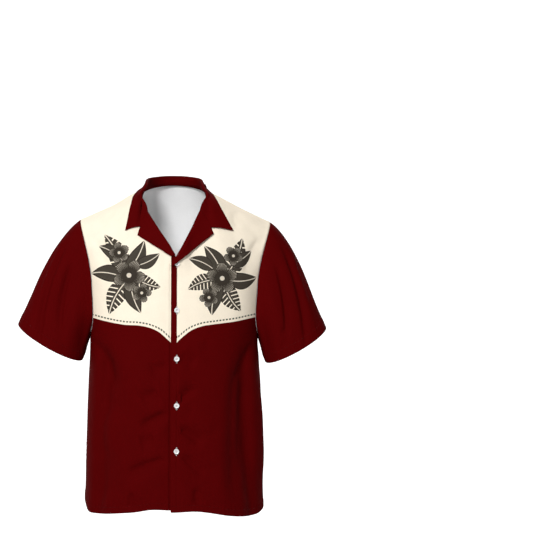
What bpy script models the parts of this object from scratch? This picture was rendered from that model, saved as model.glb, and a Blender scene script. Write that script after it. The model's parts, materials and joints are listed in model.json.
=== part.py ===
"""A short-sleeved shirt with an open camp collar, hollow as if it is worn, in metres.

+Z is up, the front faces -Y, and the wearer's left side is at +X. The origin is the middle of the
neck at the height where the shoulder seams meet the collar, which is where the wearer holds it up.
Every piece of cloth is an open grid laid on the shirt's form, thickened inwards by Solidify.
"""

import math
from collections import namedtuple

import bmesh
import bpy
import numpy as np
from mathutils import Vector
from mathutils.bvhtree import BVHTree

# Cloth and seams
CLOTH = 0.0011  # wall of the fronts, back and sleeves
FOLDED_CLOTH = 0.0012  # wall of the collar and lapels
SEAM_GAP = 0.0003
SLEEVE_GAP = 0.0006  # wider at the armhole, where the inner sides come closer as the cloth turns
SHOULDER_GAP = 0.0008  # and wider again along the shoulder, for the same reason
LAYER_GAP = 0.0004  # between pieces that lie on each other
MERGE_DISTANCE = 0.000001

# Heights on the body, below the neck point
CHEST_Z = -0.215  # where the level rings end and the cloth turns to the shoulders
UNDERARM_Z = -0.330
BUTTON_Z = (-0.173, -0.278, -0.387, -0.491, -0.592)

# The torso's level rings, wider than the chest: half widths, and depths from the side seam's plane
SQUARENESS = 2.35  # exponent of the ring's outline; 2 is an ellipse
RING_DEPTH_SHARE = 0.64  # depth over half width of the ring that the columns are spaced on
SIDE_SEAM_Y = 0.004
CENTRE_DROP = 0.05  # of the points that outward normals point away from, below the cloth's own
Level = namedtuple("Level", "z half_right half_left front back")
LEVELS = (
    Level(-0.770, 0.206, 0.207, 0.150, 0.130),
    Level(-0.728, 0.205, 0.206, 0.149, 0.129),
    Level(-0.663, 0.203, 0.203, 0.145, 0.125),
    Level(-0.625, 0.203, 0.203, 0.144, 0.124),
    Level(-0.535, 0.201, 0.200, 0.141, 0.121),
    Level(-0.435, 0.198, 0.196, 0.139, 0.119),
    Level(-0.330, 0.195, 0.194, 0.136, 0.119),
    Level(-0.215, 0.204, 0.205, 0.128, 0.117),
    Level(-0.150, 0.206, 0.207, 0.120, 0.112),
)

# The hem's height round the body: "around" is 0 at the middle of a face and 1 at its side seam
HemPoint = namedtuple("HemPoint", "around front_right front_left back")
HEM = (
    HemPoint(-0.10, -0.7210, -0.7260, -0.7525),
    HemPoint(0.00, -0.7215, -0.7260, -0.7525),
    HemPoint(0.20, -0.7205, -0.7250, -0.7520),
    HemPoint(0.30, -0.7250, -0.7290, -0.7515),
    HemPoint(0.45, -0.7290, -0.7365, -0.7505),
    HemPoint(0.60, -0.7322, -0.7405, -0.7480),
    HemPoint(0.70, -0.7332, -0.7411, -0.7440),
    HemPoint(0.78, -0.7310, -0.7380, -0.7385),
    HemPoint(0.86, -0.7200, -0.7300, -0.7290),
    HemPoint(1.00, -0.7010, -0.7090, -0.7050),
)

# Long soft folds that hang from the chest to the hem
Fold = namedtuple("Fold", "face around lean top fade width depth")
FOLDS = (
    Fold("front", -0.64, -0.02, -0.33, 0.12, 0.060, -0.0070),
    Fold("front", -0.36, 0.02, -0.50, 0.15, 0.080, 0.0030),
    Fold("front", 0.40, 0.00, -0.45, 0.15, 0.090, 0.0030),
    Fold("front", 0.66, 0.03, -0.32, 0.12, 0.070, -0.0080),
    Fold("front", 0.86, 0.02, -0.40, 0.12, 0.050, 0.0035),
    Fold("back", -0.80, -0.02, -0.36, 0.14, 0.055, 0.0040),
    Fold("back", -0.40, -0.05, -0.28, 0.14, 0.070, -0.0075),
    Fold("back", 0.00, 0.00, -0.30, 0.20, 0.130, 0.0040),
    Fold("back", 0.44, 0.05, -0.26, 0.14, 0.080, -0.0090),
    Fold("back", 0.80, 0.02, -0.36, 0.14, 0.060, 0.0045),
)

# Armholes: the share of a face's half that is left between the armholes at CHEST_Z
CHEST_SHARE = 0.775
ARMHOLE_SQUARENESS = 3.0

# Upper edges. A front's edge runs from its break point up the roll line to the neck point, and then
# along the shoulder seam. "share" is the place along the panel's top, "x" is outward from the middle
# of the shirt, and rise_y and rise_z are the way that the cloth is heading as it gets there.
TopPoint = namedtuple("TopPoint", "share x y z rise_y rise_z")
LEFT_FRONT_TOP = (
    TopPoint(0.0000, -0.0075, -0.1275, -0.1790, 0.06, 1.00),
    TopPoint(0.1250, 0.0165, -0.1200, -0.1400, 0.14, 0.99),
    TopPoint(0.2500, 0.0405, -0.0985, -0.0925, 0.32, 0.94),
    TopPoint(0.3750, 0.0645, -0.0650, -0.0470, 0.60, 0.80),
    TopPoint(0.4700, 0.0730, -0.0400, -0.0255, 0.80, 0.60),
    TopPoint(0.5625, 0.0755, -0.0120, -0.0020, 0.95, 0.30),
    TopPoint(0.7800, 0.1500, -0.0105, -0.0345, 0.95, 0.30),
    TopPoint(1.0000, 0.2230, -0.0080, -0.0680, 0.95, 0.30),
)
RIGHT_FRONT_TOP = (
    TopPoint(0.0000, -0.0150, -0.1230, -0.1750, 0.06, 1.00),
    TopPoint(0.1250, 0.0120, -0.1180, -0.1360, 0.14, 0.99),
    TopPoint(0.2500, 0.0405, -0.0985, -0.0935, 0.32, 0.94),
    TopPoint(0.3750, 0.0690, -0.0660, -0.0510, 0.60, 0.80),
    TopPoint(0.4700, 0.0765, -0.0405, -0.0275, 0.80, 0.60),
    TopPoint(0.5625, 0.0785, -0.0120, -0.0020, 0.95, 0.30),
    TopPoint(0.7800, 0.1500, -0.0105, -0.0335, 0.95, 0.30),
    TopPoint(1.0000, 0.2190, -0.0080, -0.0650, 0.95, 0.30),
)
FRONT_EDGE = {"left": -0.0075, "right": -0.0150}  # how far each front reaches past the middle
GORGE_SHARE = 0.375  # the place on a front's top where the collar ends and the lapel begins
NECK_POINT_SHARE = 0.5625
PLACKET_WIDTH = 0.020  # half the width over which the two fronts lie on each other
PLACKET_SHARE = 0.55  # of a wall and its gap that each front moves: a little over half
BREAK_SPREAD = 0.0022  # more room between them where the left lapel folds over the right front
BREAK_SPREAD_Z = -0.150
BREAK_SPREAD_HEIGHT = 0.045
NECK_SHARE = 0.5625  # of a back half's top that is neckline, up to the neck point
NECK_BACK = (0.0, 0.0780, 0.0285)  # middle of the back neckline
NAPE_RISE = (0.0, -0.45, 0.90)  # the way that the back is heading there
SEAM_PULL = 0.36  # how far the rings and the top edge steer the cloth between them

# Sleeves: the hem is an oval whose long axis runs from the outer corner to the inner corner
SLEEVE_HEM = {"left": (0.2830, -0.0140, -0.3540), "right": (-0.2860, -0.0140, -0.3470)}
SLEEVE_HALF_WIDTH = {"left": 0.082, "right": 0.085}
SLEEVE_HALF_DEPTH = 0.057
SLEEVE_HEM_SLOPE = math.radians(29.0)  # of the hem's long axis, seen from the front
SLEEVE_FORWARD_DIP = 0.32  # how much the front of the hem hangs below its back
SLEEVE_AXIS_SLOPE = math.radians(64.5)  # of the sleeve, below the horizontal
# How the sleeve leaves the armhole at its top, front, underarm and back: out, forward, down
Leave = namedtuple("Leave", "out forward down start end")
SLEEVE_TOP = Leave(0.80, 0.05, 0.60, 0.080, 0.125)
SLEEVE_FRONT = Leave(0.72, 0.34, 0.60, 0.050, 0.070)
SLEEVE_UNDERARM = Leave(0.34, 0.00, 0.94, 0.020, 0.022)
SLEEVE_BACK = Leave(0.76, -0.30, 0.58, 0.050, 0.070)
# Folds that run down the sleeves: turn is 0 at the sleeve's top, 0.5 at its front and 1 underneath
SleeveFold = namedtuple("SleeveFold", "turn lean width depth")
SLEEVE_FOLDS = (
    SleeveFold(0.30, 0.16, 0.10, -0.0060),
    SleeveFold(0.52, 0.14, 0.09, 0.0030),
    SleeveFold(0.74, 0.06, 0.08, -0.0040),
    SleeveFold(1.34, -0.04, 0.10, -0.0035),
    SleeveFold(1.70, -0.12, 0.11, -0.0060),
)

# Collar and lapels. The leaf is the part outside the fold, which lies on the shirt.
SHIRT_CENTRE = (0.0, 0.010, -0.250)
FOLD_RADIUS = 0.0032
ROLL_EASE = 0.0008  # of the roll line's fold above the front's edge
INSIDE_OVERLAP = 0.002  # how far the stand and facings go down inside the neckline
LEAF_LIFT = 0.0042  # of a leaf's outer side above the shirt
FOOT_LIFT = {"left": 0.0064, "right": 0.0042}  # the left lapel's foot covers half a button
GORGE_BEND = 0.70  # where along the collar its leaf begins to turn towards the notch
GORGE_GAP = (0.0014, 0.0005)  # at each side of the gorge seam: inside the neck, and at the notch
GORGE_GAP_END = 0.7  # of a section, where the gap has come down to that of the notch
LAPEL_END = {"left": 1.0, "right": 0.83}  # the left lapel covers the end of the right one
# "stand" is the fold's height above the neckline, and lean_x and lean_y its slope there, outward
# and backward; "edge" is where the leaf ends.
Station = namedtuple("Station", "share stand lean_x lean_y edge_x edge_y edge_z")
RIGHT_COLLAR = (
    Station(0.00, 0.0190, 0.00, -0.05, 0.000, 0.0930, 0.0130),
    Station(0.22, 0.0200, -0.22, -0.05, 0.042, 0.0850, 0.0110),
    Station(0.44, 0.0235, -0.38, 0.06, 0.074, 0.0520, 0.0040),
    Station(0.62, 0.0235, -0.42, 0.16, 0.0860, 0.0040, -0.0060),
    Station(0.78, 0.0150, -0.08, 0.30, 0.0990, -0.0350, -0.0300),
    Station(1.00, 0.0008, 0.00, 0.60, 0.1120, -0.0830, -0.0970),
)
LEFT_COLLAR = (
    *RIGHT_COLLAR[:2],
    Station(0.44, 0.0235, -0.40, 0.06, 0.071, 0.0520, 0.0040),
    Station(0.62, 0.0235, -0.46, 0.16, 0.0790, 0.0040, -0.0030),
    Station(0.78, 0.0130, -0.08, 0.30, 0.0920, -0.0370, -0.0340),
    Station(1.00, 0.0008, 0.00, 0.60, 0.1330, -0.0780, -0.0950),
)
# Corners of the lapels and of the notch above them, seen from the front: x outward, and z
Corner = namedtuple("Corner", "x z")
NOTCH = {"left": Corner(0.0825, -0.0895), "right": Corner(0.0790, -0.0875)}
LAPEL_TIP = {"left": Corner(0.0880, -0.1040), "right": Corner(0.0850, -0.1080)}
LAPEL_FOOT = {"left": Corner(0.0030, -0.1725), "right": Corner(0.0074, -0.1570)}
LAPEL_TIP_SHARE = 0.25  # where the tip stands along the lapel's edge

BUTTON_X = 0.0050
BUTTON_RADIUS = 0.0060
BUTTON_THICKNESS = 0.0026
BUTTON_DISH = 0.0008
BUTTON_RIM = 0.0013
HOLE_RADIUS = 0.0008
HOLE_SPACING = 0.0017  # from the button's centre to each of its four holes

# Grid sizes
ROWS_LOW = 13
ROWS_ARMHOLE = 5
ROWS_HIGH = 9
COLUMNS_BACK = 32
COLUMNS_FRONT = 16
ROWS_SLEEVE = 10
STATIONS_COLLAR = 21
STATIONS_LAPEL = 13
LEAF_STEPS = 4
FOLD_STEPS = 4
FOLD_POINTS = FOLD_STEPS + 3  # with the two points of the part inside the neck
BUTTON_SIDES = 20
HOLE_SIDES = 8

COLOURS = {
    "maroon": (0.095, 0.0035, 0.0045, 1.0),
    "pearl": (0.86, 0.86, 0.88, 1.0),
}
ROUGHNESS = {"maroon": 0.78, "pearl": 0.25}


def clear_scene():
    for obj in list(bpy.data.objects):
        bpy.data.objects.remove(obj)


def new_collection(name):
    collection = bpy.data.collections.new(name)
    bpy.context.scene.collection.children.link(collection)
    return collection


def material(name):
    made = bpy.data.materials.get(name) or bpy.data.materials.new(name)
    made.use_nodes = True
    shader = made.node_tree.nodes["Principled BSDF"]
    shader.inputs["Base Color"].default_value = COLOURS[name]
    shader.inputs["Roughness"].default_value = ROUGHNESS[name]
    shader.inputs["Metallic"].default_value = 0.0
    made.diffuse_color = COLOURS[name]
    return made


# --- reading the tables ---


def column(table, name):
    return np.array([getattr(row, name) for row in table])


def smooth(table, name, at, key):
    """A cubic through one column of a table, read at other places of its key column."""
    xs, ys = column(table, key), column(table, name)
    if xs[0] > xs[-1]:
        xs, ys = xs[::-1], ys[::-1]
    slopes = np.gradient(ys, xs)
    at = np.clip(np.asarray(at, float), xs[0], xs[-1])
    i = np.clip(np.searchsorted(xs, at) - 1, 0, len(xs) - 2)
    width = xs[i + 1] - xs[i]
    t = (at - xs[i]) / width
    return (
        ys[i] * (1 + 2 * t) * (1 - t) ** 2
        + slopes[i] * width * t * (1 - t) ** 2
        + ys[i + 1] * t * t * (3 - 2 * t)
        + slopes[i + 1] * width * t * t * (t - 1)
    )


def ease(t):
    t = np.clip(t, 0.0, 1.0)
    return t * t * (3 - 2 * t)


def unit(v):
    v = np.asarray(v, float)
    return v / np.maximum(np.linalg.norm(v, axis=-1, keepdims=True), 1e-12)


def square_to(v, along):
    """The unit vector nearest to v that is square to another unit vector."""
    return unit(v - (v * along).sum(axis=-1, keepdims=True) * along)


# --- the torso's form ---


def ring_spacing():
    """Shares of a quarter ring's length, and the angle at each."""
    angle = np.linspace(0.0, math.pi / 2, 600)
    x = np.sin(angle) ** (2 / SQUARENESS)
    y = np.cos(angle) ** (2 / SQUARENESS) * RING_DEPTH_SHARE
    run = np.concatenate([[0.0], np.cumsum(np.hypot(np.diff(x), np.diff(y)))])
    return run / run[-1], angle


RING_SHARES, RING_ANGLES = ring_spacing()


def around_of_x(x):
    """The share of a face's half, from its middle, at which the ring at CHEST_Z is x out."""
    half = smooth(LEVELS, "half_left", CHEST_Z, "z")
    angle = np.arcsin(np.clip(abs(x) / half, 0, 1) ** (SQUARENESS / 2))
    return np.sign(x) * np.interp(angle, RING_ANGLES, RING_SHARES)


def ring(face, around, z):
    """Points of the level rings: around runs from -1 to 1 across a face, from the right side seam."""
    around, z = np.broadcast_arrays(np.asarray(around, float), np.asarray(z, float))
    angle = np.interp(np.abs(around), RING_SHARES, RING_ANGLES)
    across = np.sin(angle) ** (2 / SQUARENESS)
    outward = np.maximum(np.cos(angle), 0.0) ** (2 / SQUARENESS)
    left, right = smooth(LEVELS, "half_left", z, "z"), smooth(LEVELS, "half_right", z, "z")
    half = left + (right - left) * ease(0.5 - 4.0 * around)
    depth = smooth(LEVELS, face, z, "z")
    way = -1.0 if face == "front" else 1.0
    return np.stack(
        [np.sign(around) * half * across, SIDE_SEAM_Y + way * depth * outward, z + 0.0 * across],
        axis=-1,
    )


def fold_depth(face, around, z):
    """How far the long folds move the cloth out, in metres."""
    total = np.zeros(np.broadcast(around, z).shape)
    for fold in FOLDS:
        if fold.face != face:
            continue
        centre = fold.around + fold.lean * ease((fold.top - z) / (fold.top + 0.75))
        shape = np.exp(-(((around - centre) / fold.width) ** 2))
        total += fold.depth * shape * ease((fold.top - z) / fold.fade)
    return total * ease((1 - np.abs(around)) / 0.12)


def armhole_share(turn):
    """Height and share of a face's half at the armhole, for turn 0 at the underarm to 1 at the chest."""
    angle = (1 - turn) * math.pi / 2
    down = math.sin(angle) ** (2 / ARMHOLE_SQUARENESS)
    away = 1 - max(math.cos(angle), 0.0) ** (2 / ARMHOLE_SQUARENESS)
    z = CHEST_Z + (UNDERARM_Z - CHEST_Z) * down
    return z, CHEST_SHARE + (1 - CHEST_SHARE) * away


def bezier(p0, p1, p2, p3, t):
    return (1 - t) ** 3 * p0 + 3 * t * (1 - t) ** 2 * p1 + 3 * t * t * (1 - t) * p2 + t**3 * p3


def front_top(side, share):
    """Points of a front's top edge, and the way the cloth is heading there."""
    table = LEFT_FRONT_TOP if side == "left" else RIGHT_FRONT_TOP
    sign = 1.0 if side == "left" else -1.0
    read = {name: smooth(table, name, share, "share") for name in TopPoint._fields[1:]}
    point = np.stack([sign * read["x"], read["y"], read["z"]], axis=-1)
    rise = np.stack([0.0 * read["x"], read["rise_y"], read["rise_z"]], axis=-1)
    return point, unit(rise)


def back_top(share):
    """The back's top edge for share -1 to 1: half the neckline, then a shoulder seam, each way."""
    place = np.abs(share)
    neck_point, shoulder_rise = front_top("left", np.array(NECK_POINT_SHARE))
    right_neck_point, _ = front_top("right", np.array(NECK_POINT_SHARE))
    turn = np.clip(place / NECK_SHARE, 0, 1) * math.pi / 2
    neck_x = np.where(share < 0, right_neck_point[0], neck_point[0]) * np.sin(turn)
    neck_y = neck_point[1] + (NECK_BACK[1] - neck_point[1]) * np.cos(turn)
    neck_z = neck_point[2] + (NECK_BACK[2] - neck_point[2]) * np.cos(turn)
    neck = np.stack([neck_x, neck_y, neck_z], axis=-1)
    seam = np.clip((place - NECK_SHARE) / (1 - NECK_SHARE), 0, 1)
    along = NECK_POINT_SHARE + (1 - NECK_POINT_SHARE) * seam
    seams = {side: front_top(side, along) for side in ("left", "right")}
    on_left = (share >= 0)[..., None]
    shoulder = np.where(on_left, seams["left"][0], seams["right"][0])
    point = np.where((place <= NECK_SHARE)[..., None], neck, shoulder)
    bend = np.clip(place / NECK_SHARE, 0, 1)[..., None] ** 2
    return point, unit(unit(NAPE_RISE) * (1 - bend) - shoulder_rise * bend)


def panel_grid(face, side):
    """Rows of points of a panel's outer side, from the hem to its top edge."""
    if face == "front":
        sign = 1.0 if side == "left" else -1.0
        inner = around_of_x(FRONT_EDGE[side])
        across = np.linspace(0.0, 1.0, COLUMNS_FRONT + 1)

        def spread(outer):
            return sign * (inner + across * (outer - inner))

        hem_name = "front_" + side
        top, rise = front_top(side, across)
    else:
        across = np.linspace(-1.0, 1.0, COLUMNS_BACK + 1)

        def spread(outer):
            return across * outer

        hem_name = "back"
        top, rise = back_top(across)
    rows = []
    for j in range(ROWS_LOW + 1):
        around = spread(1.0)
        hem = smooth(HEM, hem_name, np.abs(around), "around")
        z = hem + (UNDERARM_Z - hem) * (j / ROWS_LOW)
        rows.append((around, ring(face, around, z)))
    for j in range(1, ROWS_ARMHOLE + 1):
        z, outer = armhole_share(j / ROWS_ARMHOLE)
        around = spread(outer)
        rows.append((around, ring(face, around, z)))
    around = spread(CHEST_SHARE)
    start = ring(face, around, CHEST_Z)
    heading = unit(ring(face, around, CHEST_Z + 0.004) - ring(face, around, CHEST_Z - 0.004))
    length = np.linalg.norm(top - start, axis=-1, keepdims=True)
    end = top - rise * SHOULDER_GAP / 2
    for j in range(1, ROWS_HIGH + 1):
        pull = length * SEAM_PULL
        points = bezier(start, start + heading * pull, end - rise * pull, end, j / ROWS_HIGH)
        rows.append((around, points))
    around = np.array([row[0] for row in rows])
    points = np.array([row[1] for row in rows])
    normals = outward_normals(points, level_centres(points))
    return points + normals * fold_depth(face, around, points[..., 2])[..., None]


def level_centres(points):
    """The middle of the body at each point's height."""
    centres = points.copy()
    centres[..., 0] = 0.0
    centres[..., 1] = SIDE_SEAM_Y
    centres[..., 2] -= CENTRE_DROP
    return centres


def outward_normals(points, centres):
    """Unit normals of a grid of points, on the side away from the centres."""
    normals = unit(np.cross(np.gradient(points, axis=1), np.gradient(points, axis=0)))
    return normals if (normals * (points - centres)).sum() > 0 else -normals


def side_gaps(points, face):
    """Leaves half a seam's gap at the side seams."""
    points = points.copy()
    edges = (0, -1) if face == "back" else (-1,)
    way = 1.0 if face == "back" else -1.0
    for edge in edges:
        points[: ROWS_LOW + 1, edge, 1] += way * SEAM_GAP / 2
    return points


def placket_shift(points, side):
    """The left front laps over the right one, so near the middle each moves off the shared form."""
    near = 1 - ease((np.abs(points[..., 0]) - PLACKET_WIDTH) / PLACKET_WIDTH)
    above = (points[..., 2] - BREAK_SPREAD_Z) / BREAK_SPREAD_HEIGHT
    spread = BREAK_SPREAD * np.exp(-(above**2))
    apart = (CLOTH + LAYER_GAP) * PLACKET_SHARE + spread
    moved = points.copy()
    moved[..., 1] += near * apart * (-1.0 if side == "left" else 1.0)
    return moved


# --- making pieces ---


def sheet(name, points, wall, collection, closed=False):
    """A grid of points made into a wall of cloth: the points are its outer side."""
    rows, columns = points.shape[:2]
    mesh = bpy.data.meshes.new(name)
    bm = bmesh.new()
    bmesh.ops.create_grid(bm, x_segments=columns - 1, y_segments=rows - 1, size=0.5)
    for vert in bm.verts:
        column_at = round((vert.co.x + 0.5) * (columns - 1))
        row_at = round((vert.co.y + 0.5) * (rows - 1))
        vert.co = Vector(points[row_at, column_at])
    if closed:
        bmesh.ops.remove_doubles(bm, verts=bm.verts, dist=MERGE_DISTANCE)
    bm.to_mesh(mesh)
    bm.free()
    mesh.shade_smooth()
    obj = bpy.data.objects.new(name, mesh)
    obj.data.materials.append(material("maroon"))
    collection.objects.link(obj)
    solidify = obj.modifiers.new("wall", "SOLIDIFY")
    solidify.thickness = wall
    solidify.offset = -1.0
    solidify.use_rim = True
    return obj


def turned_out(points, centres):
    """The grid with its columns turned round if its faces would point at the centres."""
    normals = unit(np.cross(np.gradient(points, axis=1), np.gradient(points, axis=0)))
    return points if (normals * (points - centres)).sum() > 0 else points[:, ::-1]


def leaf_out(sections):
    """A folded piece's grid, turned so that the outer side of its leaf points off the shirt."""
    leaf = sections[:, -LEAF_STEPS:]
    normals = unit(np.cross(np.gradient(leaf, axis=1), np.gradient(leaf, axis=0)))
    facing = (normals * (leaf - np.array(SHIRT_CENTRE))).sum()
    return sections if facing > 0 else sections[:, ::-1]


def surface_tree(*grids):
    verts, faces = [], []
    for grid in grids:
        base, (rows, columns) = len(verts), grid.shape[:2]
        verts += [Vector(p) for p in grid.reshape(-1, 3)]
        for r in range(rows - 1):
            for c in range(columns - 1):
                a = base + r * columns + c
                faces.append((a, a + 1, a + columns + 1, a + columns))
    return BVHTree.FromPolygons(verts, faces)


def nearest_out(tree, point):
    """The nearest point of the shirt, and its normal pointing away from the shirt's inside."""
    place, normal, _, _ = tree.find_nearest(Vector(point))
    if normal.dot(place - Vector(SHIRT_CENTRE)) < 0:
        normal = -normal
    return np.array(place), np.array(normal)


def lying_on(tree, point, lift):
    place, normal = nearest_out(tree, point)
    return place + normal * lift


def kept_off(tree, point, lift):
    """The point, moved out if it is less than lift above the shirt."""
    place, normal = nearest_out(tree, point)
    return point + normal * max(0.0, lift - float(np.dot(point - place, normal)))


# --- sleeves ---


def armhole_loop(fronts, back, side):
    """The armhole's points from the shoulder down the front to the underarm and up the back."""
    front_edge = fronts[side][ROWS_LOW:, -1]
    back_edge = back[ROWS_LOW:, -1 if side == "left" else 0]
    underarm, top = (front_edge[0] + back_edge[0]) / 2, (front_edge[-1] + back_edge[-1]) / 2
    return np.array([top, *front_edge[-2:0:-1], underarm, *back_edge[1:-1], top])


def turn_along(loop):
    """The angle round the sleeve at each of the loop's points: 0 at the top, pi at the underarm."""
    half = len(loop) // 2
    steps = np.linalg.norm(np.diff(loop, axis=0), axis=1)
    front, back = np.cumsum(steps[:half]), np.cumsum(steps[half:])
    return math.pi * np.concatenate([[0.0], front / front[-1], 1 + back / back[-1]])


def blend_round(angle, name):
    """One of the Leave values, turned smoothly from the top to the front, underarm and back."""
    top, front = max(math.cos(angle), 0.0) ** 2, max(math.sin(angle), 0.0) ** 2
    underarm, back = max(-math.cos(angle), 0.0) ** 2, max(-math.sin(angle), 0.0) ** 2
    return (
        top * getattr(SLEEVE_TOP, name)
        + front * getattr(SLEEVE_FRONT, name)
        + underarm * getattr(SLEEVE_UNDERARM, name)
        + back * getattr(SLEEVE_BACK, name)
    )


def sleeve_fold_depth(turn, down):
    """How far the sleeve's folds move its cloth out, for places round it and down it."""
    total = np.zeros(np.broadcast(turn, down).shape)
    for fold in SLEEVE_FOLDS:
        total += fold.depth * np.exp(-(((turn - fold.turn - fold.lean * down) / fold.width) ** 2))
    return total * np.sin(math.pi * down) ** 2


def sleeve_grid(loop, side):
    sign = 1.0 if side == "left" else -1.0
    hem_centre = np.array(SLEEVE_HEM[side])
    outer = np.array([sign * math.cos(SLEEVE_HEM_SLOPE), 0.0, math.sin(SLEEVE_HEM_SLOPE)])
    forward = unit([0.0, -1.0, -SLEEVE_FORWARD_DIP])
    axis = np.array([sign * math.cos(SLEEVE_AXIS_SLOPE), 0.0, -math.sin(SLEEVE_AXIS_SLOPE)])
    grid = np.zeros((ROWS_SLEEVE + 1, len(loop), 3))
    angles = turn_along(loop)
    for c, angle in enumerate(angles):
        hem = (
            hem_centre
            + outer * SLEEVE_HALF_WIDTH[side] * math.cos(angle)
            + forward * SLEEVE_HALF_DEPTH * math.sin(angle)
        )
        leave = unit(
            [
                sign * blend_round(angle, "out"),
                -blend_round(angle, "forward"),
                -blend_round(angle, "down"),
            ]
        )
        start = loop[c] + leave * SLEEVE_GAP
        for r in range(ROWS_SLEEVE + 1):
            grid[r, c] = bezier(
                start,
                start + leave * blend_round(angle, "start"),
                hem - axis * blend_round(angle, "end"),
                hem,
                r / ROWS_SLEEVE,
            )
    normals = outward_normals(grid, sleeve_centres(grid))
    normals[:, -1] = normals[:, 0]
    down = np.linspace(0.0, 1.0, ROWS_SLEEVE + 1)[:, None]
    return grid + normals * sleeve_fold_depth(angles / math.pi, down)[..., None]


def sleeve_centres(grid):
    return grid[:, :-1].mean(axis=1, keepdims=True)


# --- collar and lapels ---


def edge_frames(grid, first, last):
    """Part of a panel's top edge: its points, the way up off the panel, and the way along it."""
    edge, below = grid[-1, first : last + 1], grid[-2, first : last + 1]
    along = unit(np.gradient(edge, axis=0))
    rise = square_to(edge - below, along)
    facing = (np.cross(along, rise) * (edge - SHIRT_CENTRE)).sum()
    return np.stack([edge, rise, along if facing > 0 else -along], axis=1)


def even_stations(frames, count, end=1.0):
    """Edge frames read at even places along the edge, up to a share of it, and those places."""
    steps = np.linalg.norm(np.diff(frames[:, 0], axis=0), axis=1)
    run = np.concatenate([[0.0], np.cumsum(steps)]) / steps.sum()
    at = np.linspace(0.0, end, count)
    flat = frames.reshape(len(frames), 9)
    read = np.stack([np.interp(at, run, flat[:, k]) for k in range(9)], axis=1).reshape(-1, 3, 3)
    read[:, 2] = unit(read[:, 2])
    read[:, 1] = square_to(read[:, 1], read[:, 2])
    return at, read


def folded_section(tree, frames, upward, stand, leaf):
    """Up inside the neck, round the fold, and out along the leaf's points over the shirt."""
    edge, rise, along = frames
    outward = unit(np.cross(along, upward))
    middle = edge - unit(np.cross(along, rise)) * CLOTH / 2
    fold_centre = middle + upward * stand
    start = middle - outward * FOLD_RADIUS - upward * INSIDE_OVERLAP
    points = [start, (start + fold_centre - outward * FOLD_RADIUS) / 2]
    for k in range(FOLD_STEPS + 1):
        angle = math.pi * k / FOLD_STEPS
        swing = upward * math.sin(angle) - outward * math.cos(angle)
        points.append(fold_centre + swing * FOLD_RADIUS)
    return points + leaf(points[-1])


def leaf_points(tree, lift, *corners):
    """Returns a function that runs from the fold through the corners, kept off the shirt."""

    def run(start):
        points, previous = [], start
        for corner in corners:
            for k in range(1, LEAF_STEPS + 1):
                straight = previous + (corner - previous) * k / LEAF_STEPS
                points.append(kept_off(tree, straight, lift))
            previous = corner
        return points

    return run


def collar_half(side, back, fronts, tree):
    """Sections of one half of the collar, from the nape to the gorge."""
    middle, sign = COLUMNS_BACK // 2, (1 if side == "left" else -1)
    neck_columns = round(NECK_SHARE * middle)
    round_nape = edge_frames(back, middle - neck_columns, middle + neck_columns)
    gorge = round(GORGE_SHARE * COLUMNS_FRONT)
    neck_point = round(NECK_POINT_SHARE * COLUMNS_FRONT)
    down_front = edge_frames(fronts[side], 0, neck_point)[gorge:neck_point][::-1]
    frames = np.concatenate([round_nape[neck_columns::sign], down_front])
    shares, frames = even_stations(frames, STATIONS_COLLAR)
    table = LEFT_COLLAR if side == "left" else RIGHT_COLLAR
    notch = seen_from_front(tree, sign * NOTCH[side].x, NOTCH[side].z, LEAF_LIFT)
    sections = []
    for share, station in zip(shares, frames):
        edge, rise, along = station
        at = {name: float(smooth(table, name, share, "share")) for name in Station._fields[1:]}
        near_gorge = ease((share - GORGE_BEND) / (1 - GORGE_BEND))
        lean = unit([sign * at["lean_x"], at["lean_y"], 1.0])
        upward = square_to(lean + (rise - lean) * near_gorge**3, along)
        tip = lying_on(tree, (sign * at["edge_x"], at["edge_y"], at["edge_z"]), LEAF_LIFT)
        in_front = seen_from_front(tree, sign * at["edge_x"], at["edge_z"], LEAF_LIFT)
        tip = tip + (in_front - tip) * near_gorge
        bend = (edge + upward * at["stand"] + tip) / 2
        bend = bend + (notch - bend) * near_gorge
        leaf = leaf_points(tree, LEAF_LIFT, bend, tip)
        sections.append(folded_section(tree, station, upward, at["stand"], leaf))
    return np.array(sections)


def seen_from_front(tree, x, z, lift):
    """The point over the shirt's front that stands at x and z."""
    place, _, _, _ = tree.ray_cast(Vector((x, -1.0, z)), Vector((0.0, 1.0, 0.0)))
    if place is None:
        return lying_on(tree, (x, -0.12, z), lift)
    return lying_on(tree, place, lift)


def lapel_grid(side, fronts, tree):
    sign = 1 if side == "left" else -1
    gorge = round(GORGE_SHARE * COLUMNS_FRONT)
    frames = edge_frames(fronts[side], 0, gorge + 1)[gorge::-1]
    shares, frames = even_stations(frames, STATIONS_LAPEL, LAPEL_END[side])
    shares = shares / shares[-1]
    corners = (NOTCH[side], LAPEL_TIP[side], LAPEL_FOOT[side])
    stops = (0.0, LAPEL_TIP_SHARE, 1.0)
    sections = []
    for share, station in zip(shares, frames):
        x = sign * np.interp(share, stops, [corner.x for corner in corners])
        z = np.interp(share, stops, [corner.z for corner in corners])
        lift = LEAF_LIFT + (FOOT_LIFT[side] - LEAF_LIFT) * share
        corner = seen_from_front(tree, x, z, lift)
        leaf = leaf_points(tree, lift, corner)
        sections.append(folded_section(tree, station, station[1], ROLL_EASE, leaf))
    return np.array(sections)


def drawn_back(grid, row):
    """Moves one end of a grid back along the piece, to leave its share of the seam's gap."""
    moved = grid.copy()
    inner = 1 if row == 0 else row - 1
    inside, outside = GORGE_GAP
    places = np.linspace(0.0, 1.0, grid.shape[1])
    gap = inside + (outside - inside) * ease(places / GORGE_GAP_END)
    ways = unit(grid[inner] - grid[row])
    ways[:FOLD_POINTS] = unit(ways[:FOLD_POINTS].mean(axis=0))
    moved[row] += ways * gap[:, None]
    return moved


# --- buttons ---


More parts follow.
